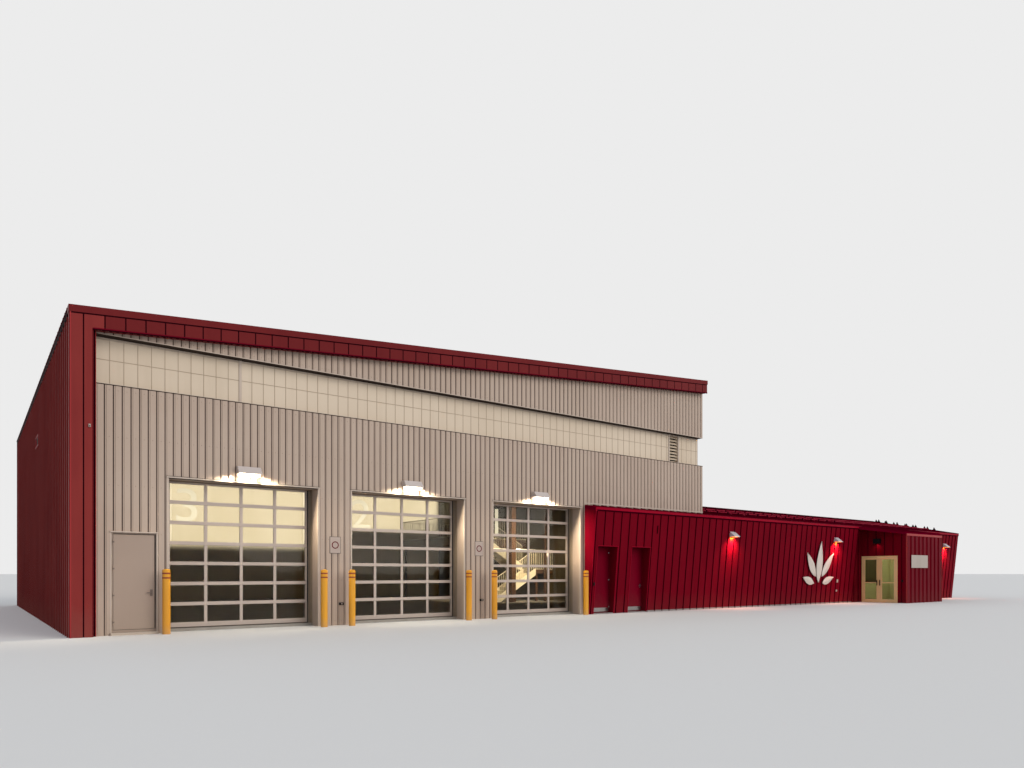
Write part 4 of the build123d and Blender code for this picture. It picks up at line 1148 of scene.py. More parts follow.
@dataclass
class BayDoors(Assembly):
    """The three sectional doors' seals, numerals, opening trims and the painted shadow under each head.

    row_line is a row joint's drop, height and stand-out. numeral_place is a numeral's place aside,
    out and up in its row. head_out is how far trim, drip edge and the painted shadow strip under the
    trim stand out over a door.
    side_seal is where a side seal starts and ends, and its stand-out.
    """

    row_pitch: float = 0.26
    rim: float = 0.048
    rows: int = 7
    row_line: Triple = (0.022, 0.002, 0.0006)
    numeral: float = 0.62
    breadth: float = 1.14
    numerals: str = "321"
    numeral_place: Triple = (0.23, 0.0015, 0.02)
    numeral_row: int = 5
    numeral_skin: float = 0.0005
    curve_steps: int = 6
    overhang: float = 0.025
    jamb: float = 0.02
    jamb_out: float = 0.016
    head_out: Triple = (-0.03, -0.026, -0.012)
    gap: float = 0.004
    drip: float = 0.026
    thin: float = 0.003
    foot_seal: float = 0.014
    side_seal: Triple = (0.002, 0.014, 0.012)
    seal_end: float = 0.006

    def figure(self, text: str, door: Extent) -> None:
        """Lay a frosted numeral on the upper left panes of a door."""
        curve = bpy.data.curves.new(f"numeral_{text}", "FONT")
        curve.body, curve.size, curve.align_x = text, self.numeral, "CENTER"
        curve.extrude, curve.resolution_u = self.numeral_skin, self.curve_steps
        drawn = bpy.data.objects.new("numeral_outline", curve)
        mesh = bpy.data.meshes.new_from_object(drawn)
        bpy.data.objects.remove(drawn)
        aside, out, up = self.numeral_place
        shape, row = MeshBuilder(), door.z0 + self.rim + self.numeral_row * self.row_pitch
        foot = Vector((door.x0 + aside, Extent.of("bay_glass").y0 - out, row + up))
        shape.corners = [tuple(foot + Vector((self.breadth * corner.co.x, corner.co.z, corner.co.y)))
                         for corner in mesh.vertices]
        shape.faces = [tuple(polygon.vertices) for polygon in mesh.polygons]
        shape.slots = [0] * len(shape.faces)
        # The numerals carry a painted glow.
        self.place(shape, f"numeral_{text}", "clear_glass", FROST)

    def add(self) -> None:
        """Build every bay's parts."""
        plan, gap, jamb, thin = self.layout, self.gap, self.jamb, self.thin
        dress(("bay_door_1", "bay_door_2", "bay_door_3"), DOOR_METAL, 1.5 * ROUND)
        dress(("bay_glass",), BAY_GLASS)
        dress(("bay_jambs",), BEIGE_LINING)
        # The heads' undersides are painted dark as shade.
        dress(("bay_heads",), BAY_HEAD_SHADE)
        head, trims, seals = Extent.of("hall_front_piers").z1, [], []
        trim_out, drip_out, shadow_strip_out = self.head_out
        near, far, out = self.side_seal
        drop, line, line_out = self.row_line
        for text, door in zip(self.numerals, plan.bays):
            low, high = plan.bay_opening(door)
            wide = (low - self.overhang, high + self.overhang)
            trims.append((wide, (trim_out, 0.0), (head + gap, head + jamb)))
            for side, way in ((low, -1), (high, 1)):
                trims.append((sorted((side, side + way * jamb)), (-self.jamb_out, 0.0), (0.0, head + gap)))
                trims.append((sorted((side, side - way * thin)), (-self.jamb_out, jamb), (0.0, head)))
            # Drip edge, the painted shadow strip under the head trim, and the foot seal.
            seals += [(wide, (drip_out, 0.0), (head + jamb, head + self.drip)),
                      ((low, high), (shadow_strip_out, 0.0), (head - gap, head + gap)),
                      (door.x, (door.y0 - thin, door.y1), (door.z0, door.z0 + self.foot_seal))]
            seals += [(sorted((side + way * near, side + way * far)), (door.y0 - out, door.y0),
                       (door.z0, head - self.seal_end)) for side, way in ((door.x0, -1), (door.x1, 1))]
            rows = (door.z0 + self.rim + row * self.row_pitch - drop for row in range(1, self.rows))
            seals += [((door.x0 + thin, door.x1 - thin), (door.y0 - line_out, door.y0), (z, z + line))
                      for z in rows]
            self.figure(text, door)
        self.boxes(trims, "bay_trims", "beige_metal", BEIGE_TRIM, rounding=ROUND)
        self.boxes(seals, "bay_seals_and_shadow_strip", "door_aluminium", BLACK_SEAL_AND_SHADE)


@dataclass
class ManDoor(Assembly):
    """Trims and sill of the hall's single door, and painted shadow strips beside and above its leaf."""

    trim: float = 0.016
    gap: float = 0.002
    head_out: float = -0.03
    side_out: float = -0.015
    sill: Extent = Extent(0.0, 0.0, -0.06, -0.013, 0.0, 0.03)
    # Width of the dark strips of painted shadow round the leaf, and their stand-out.
    seal: float = 0.008
    shadow_strip_out: float = 0.001

    def add(self) -> None:
        """Dress the door and build its trims and its strips of painted shadow round the leaf."""
        dress(("man_door_frame", "man_door_leaf"), BEIGE_DOOR, ROUND)
        dress(("man_door_hardware",), DOOR_FITTING, FINE_ROUND)
        box, leaf, edge = Extent.of("man_door_frame"), Extent.of("man_door_leaf"), self.seal
        wide, side, top = (box.x0 - self.trim, box.x1 + self.trim), (self.side_out, 0.0), box.z1 + self.gap
        self.boxes(((wide, (self.head_out, 0.0), (top, box.z1 + self.trim)),
                    ((wide[0], box.x0), side, (0.0, top)), ((box.x1, wide[1]), side, (0.0, top)),
                    (wide, self.sill.y, self.sill.z)),
                   "man_door_trims", "beige_metal", BEIGE_TRIM, rounding=ROUND)
        # Painted shadow: dark strips in the gap beside and above the leaf.
        skin = (box.y0 - self.shadow_strip_out, box.y0)
        self.boxes((((leaf.x1 + edge / 2, leaf.x1 + 1.5 * edge), skin, (leaf.z0, leaf.z1 + edge)),
                    ((leaf.x0, leaf.x1 + edge / 2), skin, (leaf.z1 + edge / 2, leaf.z1 + edge))),
                   "man_door_shadow_strips", "door_aluminium", BLACK_SEAL_AND_SHADE)


@dataclass
class AnnexCladding(Assembly):
    """The annex's seamed walls, eave band, door recess trims and thresholds.

    kick_edge is what a kick plate leaves free aside and below. seams holds each wall's first seam.
    end_cap is the cap's width and stand-out. band is the eave band's foot, its stand-out and that
    of the dark line below it. block_band is the stand-out, drop and rise of the block's band,
    block_strip the width of its corner strips and how far they start before the two corners. sill
    is a threshold's inset and height, base the base strip's start, stand-out and height.
    """

    edge: float = 0.012
    kick: float = 0.075
    kick_edge: Span = (0.006, 0.004)
    kick_out: float = 0.0015
    seams: dict[str, float] = field(default_factory=lambda: {
        "front": 0.02, "return": 0.1, "side": 0.09, "block": 0.03, "block_side": 0.1})
    rake: float = 0.065
    proud: float = 0.004
    end_cap: Span = (0.02, 0.006)
    band: Triple = (0.022, 0.005, 0.003)
    shade_drop: float = 0.002
    block_band: Triple = (0.028, 0.03, 0.022)
    block_strip: Triple = (0.014, 0.006, 0.008)
    block_strip_out: Span = (0.026, 0.002)
    recess_edge: float = 0.006
    sill: Span = (0.003, 0.016)
    base: Triple = (0.02, 0.006, 0.028)

    def doors(self) -> list[Extent]:
        """Return the frames of the two side doors."""
        return [Extent.of(f"annex_door_{number}_frame") for number in (1, 2)]

    def walls(self) -> None:
        """Clad the annex's walls."""
        plan, seams = self.layout, self.seams
        block, eave, roof, foot, back = (plan.block, plan.annex_eave, plan.block_roof, -plan.cant_foot,
                                         plan.back_of_annex)
        opening, under = Extent.of("entrance_frame"), level(eave.z0)
        doors = [Hole(door.x, (0.0, door.z1)) for door in self.doors()]
        entrance = [Hole(opening.y, (0.0, opening.z1))]
        ridge, joint = (plan.annex_back.y0,), (eave.y1,)
        first = eave.x0 + seams["front"]
        sheets, block_sheets = MeshBuilder(), MeshBuilder()
        for surface, span, top, holes, phase, breaks in (
                (plan.canted, (eave.x0, roof.x0), under, doors, first, ()),
                (plan.canted, (block.x1, eave.x1), under, (), first, ()),
                (upright(Facing.FRONT, foot), (roof.x0, block.x0), under, (),
                 roof.x0 + seams["return"], ()),
                (upright(Facing.RIGHT, eave.x1), (foot, back), lambda y: plan.annex_top(y) - self.rake, (),
                 0.0, ridge),
                (upright(Facing.BACK, back), (plan.wall.x1, eave.x1), under, (), 0.0, ()),
                (upright(Facing.LEFT, block.x0), (block.y0, foot), plan.lean_to_foot, entrance,
                 block.y0 + seams["side"], joint)):
            sheets.sheet(surface, WALL_SEAM, span, GROUND, top, holes, phase, breaks)
        # Each seam's riser and the strip of pan beside it take the second finish, painted shade.
        self.place(sheets, "annex_sheets", "red_metal", RED, RED_PAINTED_SHADE)
        block_sheets.sheet(upright(Facing.FRONT, block.y0), BLOCK_SEAM, block.x, GROUND, level(roof.z0),
                           phase=block.x0 + seams["block"])
        block_sheets.sheet(upright(Facing.RIGHT, block.x1), BLOCK_SIDE_SEAM, (block.y0, foot), GROUND,
                           plan.lean_to_foot, phase=block.y0 + seams["block_side"], breaks=joint)
        # The ridges get the painted sheen finish, and the recessed flats the plain annex red.
        self.place(block_sheets, "entrance_block_sheets", "red_metal", RED_RIDGE_SHEEN, RED)

    def trims(self) -> None:
        """Add the eave's cap, corner strips, recess edges and thresholds."""
        plan, edge, thin = self.layout, self.edge, self.proud
        eave, block, roof = plan.annex_eave, plan.block, plan.block_roof
        cap, cap_out = self.end_cap
        foot_high, out, shade_out = self.band
        bright, metal, shade = MeshBuilder(), [], []
        bright.box((eave.x0 - thin, eave.x0 + cap), (eave.y0 - cap_out, eave.y1),
                   (eave.z0 - thin, eave.z1 + thin))
        for span in ((eave.x0, roof.x0), (block.x1, eave.x1)):
            bright.box(span, (eave.y0 - out, eave.y0), (eave.z0 + foot_high, eave.z1 + out))
            shade.append((span, (eave.y0 - shade_out, eave.y0),
                          (eave.z0 - self.shade_drop, eave.z0 + foot_high)))
        band_out, low, high = self.block_band
        wide, *places = self.block_strip
        near, far = self.block_strip_out
        block_trims = [((block.x0, block.x1 + thin), (block.y0 - band_out, block.y0),
                        (roof.z0 - low, roof.z0 + high))]
        block_trims += [((x, x + wide), (block.y0 - near, block.y0 - far), (0.0, roof.z0 - low))
                        for x in (block.x0 - places[0], block.x1 - places[1])]
        foot, top = plan.canted(0, 0, thin), plan.canted(0, eave.z0, thin)
        for x in (eave.x0, roof.x0 - edge, block.x1, eave.x1 - edge):
            bright.bar((x, foot.y, 0.0), (x, top.y, eave.z0), (edge, 0, 0), (0, -thin, 0))
        sill_in, sill = self.sill
        for door in self.doors():
            head = plan.canted(0, door.z1, thin)
            for x in (door.x0 - edge, door.x1):
                bright.bar((x, foot.y, 0.0), (x, head.y, door.z1), (edge, 0, 0), (0, -self.recess_edge, 0))
            bright.box((door.x0 - edge, door.x1 + edge), (head.y - edge, head.y), (door.z1, door.z1 + edge))
            metal.append((door.x, (foot.y, door.y0 - sill_in), (0.0, sill)))
        past, base_out, base = self.base
        metal.append(((door.x1 + past, roof.x0), (foot.y - base_out, foot.y), (0.0, base)))
        self.place(bright, "annex_trims", "bright_red_trim", RED_BAND, rounding=ROUND)
        self.boxes(shade, "annex_eave_shadow_line", "red_metal", RED_PAINTED_SHADE)
        self.boxes(block_trims, "entrance_block_trims", "bright_red_trim", RED_TRIM, rounding=ROUND)
        self.boxes(metal, "annex_thresholds", "satin_steel", STEEL, rounding=ROUND)

    def kick_plates(self) -> None:
        """Put a bright plate at the foot of both side doors."""
        side, foot = self.kick_edge
        for number in (1, 2):
            leaf = Extent.of(f"annex_door_{number}_leaf")
            plate = ((leaf.x0 + side, leaf.x1 - side), (leaf.y0 - self.kick_out, leaf.y0),
                     (leaf.z0 + foot, leaf.z0 + self.kick))
            self.boxes((plate,), f"kick_plate_{number}", "satin_steel", STEEL, body=f"annex_door_{number}")

    def add(self) -> None:
        """Build the annex's skin and dress its nodes."""
        dress(("annex_door_piers", "annex_wall_over_doors", "annex_front_wall", "annex_right_wall",
               "annex_back_wall", "entrance_front_wall", "entrance_side_walls",
               "entrance_wall_over_door"), RED)
        dress(("annex_eave_trim",), RED_EDGE)
        for number in (1, 2):
            dress((f"annex_door_{number}_frame", f"annex_door_{number}_leaf"), RED_DOOR, ROUND)
            dress((f"annex_door_{number}_hardware",), STEEL, FINE_ROUND)
        self.walls()
        self.trims()
        self.kick_plates()


@dataclass
class AnnexRoof(Assembly):
    """Seams, ridge, edge strips, small clips and posts of the low roofs.

    front_edge is the roof's reach past the eave, and the front strip's reach before and behind it.
    ridge is the ridge cap's outline, rake the rake strip's inset, drop, width and height. clip_rows
    holds the two rows' distance from the right end. clip_shift and clip_swing are how far and how
    fast the clips' places and heights change along the row.
    """

    edge: float = 0.012
    front_edge: Triple = (0.004, 0.004, 0.003)
    over_wall: float = 0.002
    overhang: float = 0.02
    back_overhang: float = 0.01
    ridge: tuple[Span, ...] = ((-0.06, 0.012), (0.0, 0.03), (0.06, 0.012), (0.0, 0.02))
    rake: tuple[float, float, float, float] = (0.008, 0.05, 0.024, 0.075)
    clips: int = 13
    clip_rows: Span = (0.03, 0.2)
    first_clip: float = 0.31
    clip_pitch: float = 0.149
    clip_height: float = 0.105
    clip_base: float = 0.1
    clip_slant: float = 0.006
    clip_peak: float = 0.6
    clip_wide: float = 0.02
    clip_shift: Span = (0.03, 5.0)
    clip_swing: Span = (0.012, 3.0)
    posts: int = 15
    first_post: float = 11.8
    post_pitch: float = 0.37
    post: Triple = (0.045, 0.012, 0.07)
    post_back: float = 0.04

    def sheets(self) -> None:
        """Lay the seamed sheets of the gable roof and of the entrance block's roof."""
        plan, eave, ridge = self.layout, self.layout.annex_eave, self.layout.annex_back.y0
        roof, side, block, thick = plan.block_roof, plan.wall.x1, plan.block, eave.z1 - eave.z0
        past = self.overhang

        def skin(u: float, v: float, out: float) -> Vector:
            """Return a place on the gable roof."""
            return Vector((u, v, plan.annex_top(v) + out))

        def lean_to(u: float, v: float, out: float) -> Vector:
            """Return a place on the entrance block's roof."""
            return Vector((u, v, plan.lean_to_foot(v) + thick + out))

        def slanted(x: float) -> float:
            """Return the Y where the entrance block's roof starts at a value of X."""
            share = min(1.0, (x - roof.x0) / (block.x0 - roof.x0))
            return eave.y1 + share * (block.y0 - past - eave.y1)

        made = MeshBuilder()
        made.sheet(skin, ROOF_SEAM, eave.x, level(eave.y0 - self.front_edge[0]),
                   lambda x: -self.over_wall if x < side else ridge, breaks=(side,))
        made.sheet(skin, ROOF_SEAM, (side + past, eave.x1), level(ridge),
                   level(plan.annex_back.y1 + self.back_overhang))
        made.sheet(lean_to, ROOF_SEAM, roof.x, slanted, level(eave.y1), breaks=(block.x0,))
        self.place(made, "annex_roof_sheets", "roof_metal", ROOF_RED)

    def trims(self) -> None:
        """Add the ridge, the right rakes and the front edge."""
        plan, eave, trims = self.layout, self.layout.annex_eave, MeshBuilder()
        ridge, far, side = plan.annex_back.y0, plan.annex_back.y1, plan.wall.x1
        gap, near, behind = self.front_edge
        front, peak = eave.y0 - gap, plan.annex_top(ridge)
        trims.prism([(side, ridge + y, peak + z) for y, z in self.ridge], (eave.x1 - side, 0, 0))
        inset, drop, wide, high = self.rake
        for start in (front, far):
            ends = [(eave.x1 - inset, y, plan.annex_top(y) - drop) for y in (start, ridge)]
            trims.bar(*ends, (wide, 0, 0), (0, 0, high))
        trims.box(eave.x, (front - near, front + behind), (eave.z1, eave.z1 + self.edge))
        self.place(trims, "annex_roof_trims", "roof_metal", RED_EDGE, rounding=ROUND)

    def clips_and_posts(self) -> None:
        """Add the pointed clips along the right rake and the posts between the snow guards."""
        plan, end, posts = self.layout, self.layout.annex_eave.x1, MeshBuilder()
        (shift, shift_rate), (swing, swing_rate) = self.clip_shift, self.clip_swing
        for step in range(self.clips):
            x = end - self.clip_rows[step % 2]
            y = self.first_clip + step * self.clip_pitch + shift * math.sin(shift_rate * step)
            foot = plan.annex_top(y) + self.edge
            peak = foot + self.clip_height + swing * math.sin(swing_rate * step)
            posts.prism([(x, y, foot), (x, y + self.clip_base, foot + self.clip_slant),
                         (x, y + self.clip_peak * self.clip_base, peak)], (self.clip_wide, 0, 0))
        guards, (wide, deep, high) = Extent.of("snow_guards"), self.post
        for y in (guards.y0 - deep, guards.y1 - self.post_back):
            foot = plan.annex_top(y)
            for x in (self.first_post + step * self.post_pitch for step in range(self.posts)):
                posts.box((x, x + wide), (y - deep, y), (foot, foot + high))
        # The clips and posts take the painted shade finish.
        self.place(posts, "roof_clips_and_posts", "roof_metal", RED_PAINTED_SHADE)

    def add(self) -> None:
        """Dress the roof's nodes and build its sheets and trims."""
        dress(("annex_roof_front", "annex_roof_back", "entrance_roof"), ROOF_RED)
        dress(("snow_guards",), GUARD_RED)
        self.sheets()
        self.trims()
        self.clips_and_posts()


@dataclass
class Entrance(Assembly):
    """The entrance's finishes, its lining, lamp box, reader, grips and sign plate.

    reader and pull are counted from the wall and from the grip's middle. pin is a sign pin's radius
    and its distance from the plate's side and top.
    """

    liner: float = 0.004
    ceiling: float = 1.65
    liner_top: float = 1.69
    wainscot: float = 0.49
    dark_end: float = 18.62
    plate: Extent = Extent(17.73, 18.605, -1.292, -1.284, 0.873, 1.19)
    lamp_box: Extent = Extent(17.415, 17.515, -0.65, -0.49, 1.49, 1.61)
    reader: Extent = Extent(-0.03, 0.0, -1.19, -1.155, 0.52, 0.58)
    pull: Extent = Extent(17.4525, 17.468, -0.011, 0.011, 0.43, 0.57)
    pulls: tuple[tuple[str, float], ...] = (("left", -0.566), ("right", -0.639))
    pin: Triple = (0.006, 0.1, 0.06)
    pin_gap: float = 0.003
    pin_sides: int = 10

    def sign(self) -> None:
        """Hang the bare sign plate on four pins."""
        shape, mark, face = MeshBuilder(), self.plate, self.layout.block.y0
        shape.box(mark.x, mark.y, mark.z)
        radius, aside, up = self.pin
        for x in (mark.x0 + aside, mark.x1 - aside):
            for z in (mark.z0 + up, mark.z1 - up):
                shape.turned(((radius, 0.0), (radius, mark.y1 - face - self.pin_gap)), (x, face, z),
                             self.pin_sides, (0,), lying=True)
        self.place(shape, "sign_plate", "beige_metal", PLATE, rounding=ROUND)

    def add(self) -> None:
        """Dress the entrance and build what belongs to it."""
        dress(("entrance_frame", "entrance_hinge_posts", "entrance_leaf_left", "entrance_leaf_right"),
              ENTRANCE_METAL, ROUND)
        dress(("entrance_glass_left", "entrance_glass_right"), ENTRANCE_GLASS)
        room, t = Extent.of("entrance_floor"), self.liner
        box, reader, pull = self.lamp_box, self.reader, self.pull
        across, tall, back = (room.x0, room.x1 - t), (room.z1, self.liner_top), (-t, 0.0)
        upper = (self.wainscot, self.ceiling)
        self.boxes((((room.x1 - t, room.x1), room.y, tall),
                    (across, (room.y0, room.y0 + t), tall),
                    (across, (room.y0 + t, room.y1), (self.ceiling, self.ceiling + t)),
                    (across, back, (room.z1, self.wainscot)),
                    ((room.x0, self.dark_end), back, upper, 1),
                    ((self.dark_end, room.x1 - t), back, upper)),
                   "entrance_lining", "entrance_aluminium", LINER, LOBBY_DARK)
        face = self.layout.block.x0
        self.boxes(((box.x, box.y, box.z), ((face + reader.x0, face), reader.y, reader.z)),
                   "entrance_lamp_box_and_reader", "louver_metal", BLACK, rounding=2 * ROUND)
        for side, middle in self.pulls:
            self.boxes(((pull.x, (middle + pull.y0, middle + pull.y1), pull.z),), f"entrance_grip_{side}",
                       "satin_steel", DARK_STEEL, body=f"entrance_{side}", rounding=2 * ROUND)
        self.sign()


@dataclass(frozen=True)
class Fitting:
    """A small box on the leaning wall: where its middle is, its size and its material slot."""

    x: float
    z: float
    wide: float
    high: float
    deep: float
    slot: int


@dataclass
class Fixtures(Assembly):
    """Wall plates with a ring, readers, small boxes and the cut metal ornament.

    The boxes' extents are counted from their places. spray holds each leaf's foot along the wall
    and up, its heading in degrees, its length and its width.
    """

    plates: tuple[Span, ...] = ((3.225, 1.135), (5.68, 1.135))
    plate_size: Span = (0.15, 0.225)
    plate_out: Span = (-0.019, -0.012)
    edge_out: Span = (-0.017, -0.01)
    edge: float = 0.006
    ring: Span = (0.038, 0.052)
    ring_out: Span = (0.0185, 0.0015)
    ring_sides: int = 40
    boxes_at: tuple[Span, ...] = ((3.315, 0.305), (5.725, 0.305))
    box: Extent = Extent(-0.03, 0.03, -0.035, -0.01, -0.018, 0.018)
    box_label: Extent = Extent(-0.01, 0.012, -0.037, -0.034, -0.008, 0.01)
    fittings: tuple[Fitting, ...] = (
        Fitting(8.06, 0.545, 0.03, 0.055, 0.02, 0), Fitting(9.624, 1.57, 0.01, 0.155, 0.02, 1),
        Fitting(16.25, 0.55, 0.055, 0.075, 0.03, 2), Fitting(16.25, 0.31, 0.05, 0.045, 0.03, 2))
    pier_box: Extent = Extent(0.184, 0.206, -0.024, 0.0, 2.415, 2.45)
    pier_eye: Extent = Extent(0.19, 0.2, -0.03, -0.024, 2.42, 2.432)
    leaf_sides: int = 14
    leaf_out: Span = (0.06, 0.045)
    leaf_skin: float = 0.008
    leaf_bend: float = 0.8
    spray: tuple[tuple[float, float, float, float, float], ...] = (
        (15.35, 0.52, 90.0, 0.98, 0.25), (15.22, 0.66, 128.0, 0.72, 0.21), (15.48, 0.66, 52.0, 0.72, 0.21),
        (15.16, 0.5, 163.0, 0.5, 0.17), (15.54, 0.5, 17.0, 0.5, 0.17))

    def wall_plates(self) -> None:
        """Put the plates and small boxes on the hall's front."""
        rings, pale, edges, small = MeshBuilder(), [], [], []
        (wide, high), (inner, outer), (out, skin) = self.plate_size, self.ring, self.ring_out
        profile = ((inner, 0.0), (inner, skin), (outer, skin), (outer, 0.0), (inner, 0.0))
        for x, z in self.plates:
            edges.append((about(x, wide / 2 + self.edge), self.edge_out, about(z, high / 2 + self.edge)))
            pale.append((about(x, wide / 2), self.plate_out, about(z, high / 2)))
            rings.turned(profile, (x, -out, z), self.ring_sides, (0,) * 4, lying=True)
        for x, z in self.boxes_at:
            for parts, part in ((small, self.box), (pale, self.box_label)):
                parts.append(((x + part.x0, x + part.x1), part.y, (z + part.z0, z + part.z1)))
        self.boxes(pale, "wall_plates", "beige_metal", WALL_PLATE)
        self.boxes(edges, "wall_plate_edges", "louver_metal", PLATE_EDGE)
        self.place(rings, "wall_plate_rings", "bright_red_trim", RING_RED)
        self.boxes(small, "front_wall_boxes", "louver_metal", BLACK, rounding=2 * ROUND)

    def annex_parts(self) -> None:
        """Put the reader, the dark strip and the boxes on the annex's wall and the pilaster."""
        dark, canted, face = MeshBuilder(), self.layout.canted, self.layout.pilaster.y0
        for part in self.fittings:
            ends = [canted(part.x - part.wide / 2, z, 0.0) for z in about(part.z, part.high / 2)]
            dark.bar(*ends, (part.wide, 0, 0), (0, -part.deep, 0), part.slot)
        for part, slot in ((self.pier_box, 2), (self.pier_eye, 0)):
            dark.box(part.x, (face + part.y0, face + part.y1), part.z, slot)
        self.place(dark, "small_fittings", "louver_metal", BLACK, RED_SHADOW, PLATE, rounding=1.5 * ROUND)

    def leaf(self, shape: MeshBuilder, x: float, z: float, turn: float, length: float,
             width: float) -> None:
        """Add one long leaf with a raised middle, standing off the leaning wall.

        Args:
            shape: Collects the leaf's faces.
            x: The foot's place along the wall.
            z: The foot's height.
            turn: The leaf's heading in degrees, from the right upwards.
            length: The leaf's length.
            width: The leaf's greatest width.
        """
        heading, (crest, rim) = math.radians(turn), self.leaf_out
        ahead, aside = (math.cos(heading), math.sin(heading)), (-math.sin(heading), math.cos(heading))

        def spot(run: float, side: float, out: float) -> Vector:
            """Return a place on the leaf by its run and its side."""
            half = width / 2 * math.sin(math.pi * run ** self.leaf_bend)
            across = x + ahead[0] * run * length + aside[0] * half * side
            up = z + ahead[1] * run * length + aside[1] * half * side
            return self.layout.canted(across, up, out)

        for step in range(self.leaf_sides):
            near, far = step / self.leaf_sides, (step + 1) / self.leaf_sides
            for side in (-1, 1):
                front = [spot(near, 0, crest), spot(far, 0, crest),
                         spot(far, side, rim), spot(near, side, rim)]
                back = [point + Vector((0, self.leaf_skin, 0)) for point in front]
                a, b, c, d, e, f, g, h = (shape.corner(point) for point in front + back)
                for face in ((a, b, c, d), (h, g, f, e), (c, g, h, d), (a, d, h, e), (b, f, g, c),
                             (a, e, f, b)):
                    shape.face(face)

    def add(self) -> None:
        """Build every fixture."""
        self.wall_plates()
        self.annex_parts()
        spray = MeshBuilder()
        for leaf in self.spray:
            self.leaf(spray, *leaf)
        self.place(spray, "leaf_ornament", "satin_steel", ORNAMENT)


@dataclass(frozen=True)
class LampShape:
    """The sizes of one kind of wall lamp.

    lens is how far the lens hangs below the hood, lip the front edge's height, flat the top's share
    of the reach, skin the sheet's thickness and inset the lens's share left free at each end.
    """

    width: float
    foot: float
    height: float
    reach: float
    lens: float
    lip: float
    flat: float
    skin: float = 0.004
    inset: float = 0.08


@dataclass(frozen=True)
class Beam:
    """A rectangular light that shines one way and is never seen itself.

    Its place is counted from a lamp's foot at the wall, or from the origin where it hangs alone.
    """

    name: str
    place: Triple
    size: Span
    power: float
    colour: Triple = (1.0, 0.86, 0.64)
    aim: Triple = (0.0, 0.0, -1.0)
    spread: float = 180.0

    def hang(self, base: Point = (0.0, 0.0, 0.0)) -> None:
        """Hang the light."""
        light = bpy.data.lights.new(self.name, "AREA")
        light.shape, light.size, light.size_y = "RECTANGLE", self.size[0], self.size[1]
        light.energy, light.color, light.spread = self.power, self.colour, math.radians(self.spread)
        lamp = bpy.data.objects.new(self.name, light)
        lamp.location = Vector(base) + Vector(self.place)
        lamp.rotation_euler = Vector(self.aim).to_track_quat("-Z", "Y").to_euler()
        lamp.visible_camera = lamp.visible_glossy = False
        bpy.context.scene.collection.objects.link(lamp)


COOL, PALE_WARM = (1.0, 0.94, 0.97), (1.0, 0.9, 0.7)
INWARD = (0.0, 1.0, 0.0)


@dataclass
class Lamps(Assembly):
    """Sheet hoods with lit lenses over the bays and on the annex."""

    bay: LampShape = LampShape(width=0.3, foot=1.995, height=0.13, reach=0.12,
                               lens=0.034, lip=0.014, flat=0.5)
    annex: LampShape = LampShape(width=0.175, foot=1.5, height=0.11, reach=0.14,
                                 lens=0.0, lip=0.006, flat=0.1)
    bay_beams: tuple[Beam, ...] = (
        Beam("bay_down_light", (0.0, -0.06, -0.005), (0.26, 0.06), 3.0),
        Beam("bay_left_light", (-0.14, -0.05, 0.02), (0.05, 0.03), 3.4, PALE_WARM,
             (-1.0, 0.1, -0.72), 60.0),
        Beam("bay_right_light", (0.14, -0.05, 0.02), (0.05, 0.03), 3.4, PALE_WARM,
             (1.0, 0.1, -0.72), 60.0))
    annex_beams: tuple[Beam, ...] = (
        Beam("annex_hot_light", (0.0, -0.035, -0.003), (0.12, 0.02), 2.5, (1.0, 6.0, 0.05),
             (0.0, 1.1, -1.0), 70.0),
        Beam("annex_wash_light", (0.0, -0.12, -0.006), (0.12, 0.03), 10.0, (1.0, 0.4, 0.3),
             (0.0, 0.45, -1.0), 120.0))
    bay_wall: float = -0.012
    places: tuple[float, ...] = (11.95, 16.05, 22.03)

    def hood(self, hoods: MeshBuilder, lenses: MeshBuilder, x: float, wall: float,
             shape: LampShape) -> None:
        """Add one lamp.

        Args:
            hoods: Collects the sheet hoods.
            lenses: Collects the lit lenses.
            x: The lamp's middle.
            wall: The wall's Y there.
            shape: The lamp's sizes.
        """
        (left, right), skin = about(x, shape.width / 2), shape.skin
        front, foot, top = wall - shape.reach, shape.foot + shape.lens, shape.foot + shape.height
        bend = wall - shape.flat * shape.reach
        outer = [(wall, foot), (wall, top), (bend, top), (front, foot + shape.lip), (front, foot)]
        inner = [(wall, foot), (wall, top - skin), (bend, top - skin),
                 (front + skin, foot + shape.lip - skin), (front + skin, foot)]
        for side in (left, right - skin):
            hoods.prism([(side, y, z) for y, z in outer], (skin, 0, 0))
        for step in range(1, len(outer) - 1):
            band = (outer[step], outer[step + 1], inner[step + 1], inner[step])
            hoods.prism([(left + skin, y, z) for y, z in band], (shape.width - 2 * skin, 0, 0))
        inset = shape.inset * shape.width
        lenses.box((left + inset, right - inset), (front + 3 * skin, wall - skin),
                   (shape.foot, foot + skin))

    def add(self) -> None:
        """Build all lamps and their light."""
        bays = [((door.x0 + door.x1) / 2, self.bay_wall) for door in self.layout.bays]
        along = [(x, self.layout.canted(x, self.annex.foot, 0.0).y) for x in self.places]
        for node, places, shape, metal, lens, beams in (
                ("bay_lamps", bays, self.bay, LAMP_METAL, BAY_LENS, self.bay_beams),
                ("annex_lamps", along, self.annex, WALL_LAMP_METAL, WALL_LENS, self.annex_beams)):
            hoods, lenses = MeshBuilder(), MeshBuilder()
            for x, wall in places:
                self.hood(hoods, lenses, x, wall, shape)
                for beam in beams:
                    beam.hang((x, wall, shape.foot))
            made = self.place(hoods, f"{node}_hoods", "lamp_metal", metal, rounding=ROUND)
            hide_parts(node)
            self.place(lenses, f"{node}_lenses", "lamp_metal", lens)


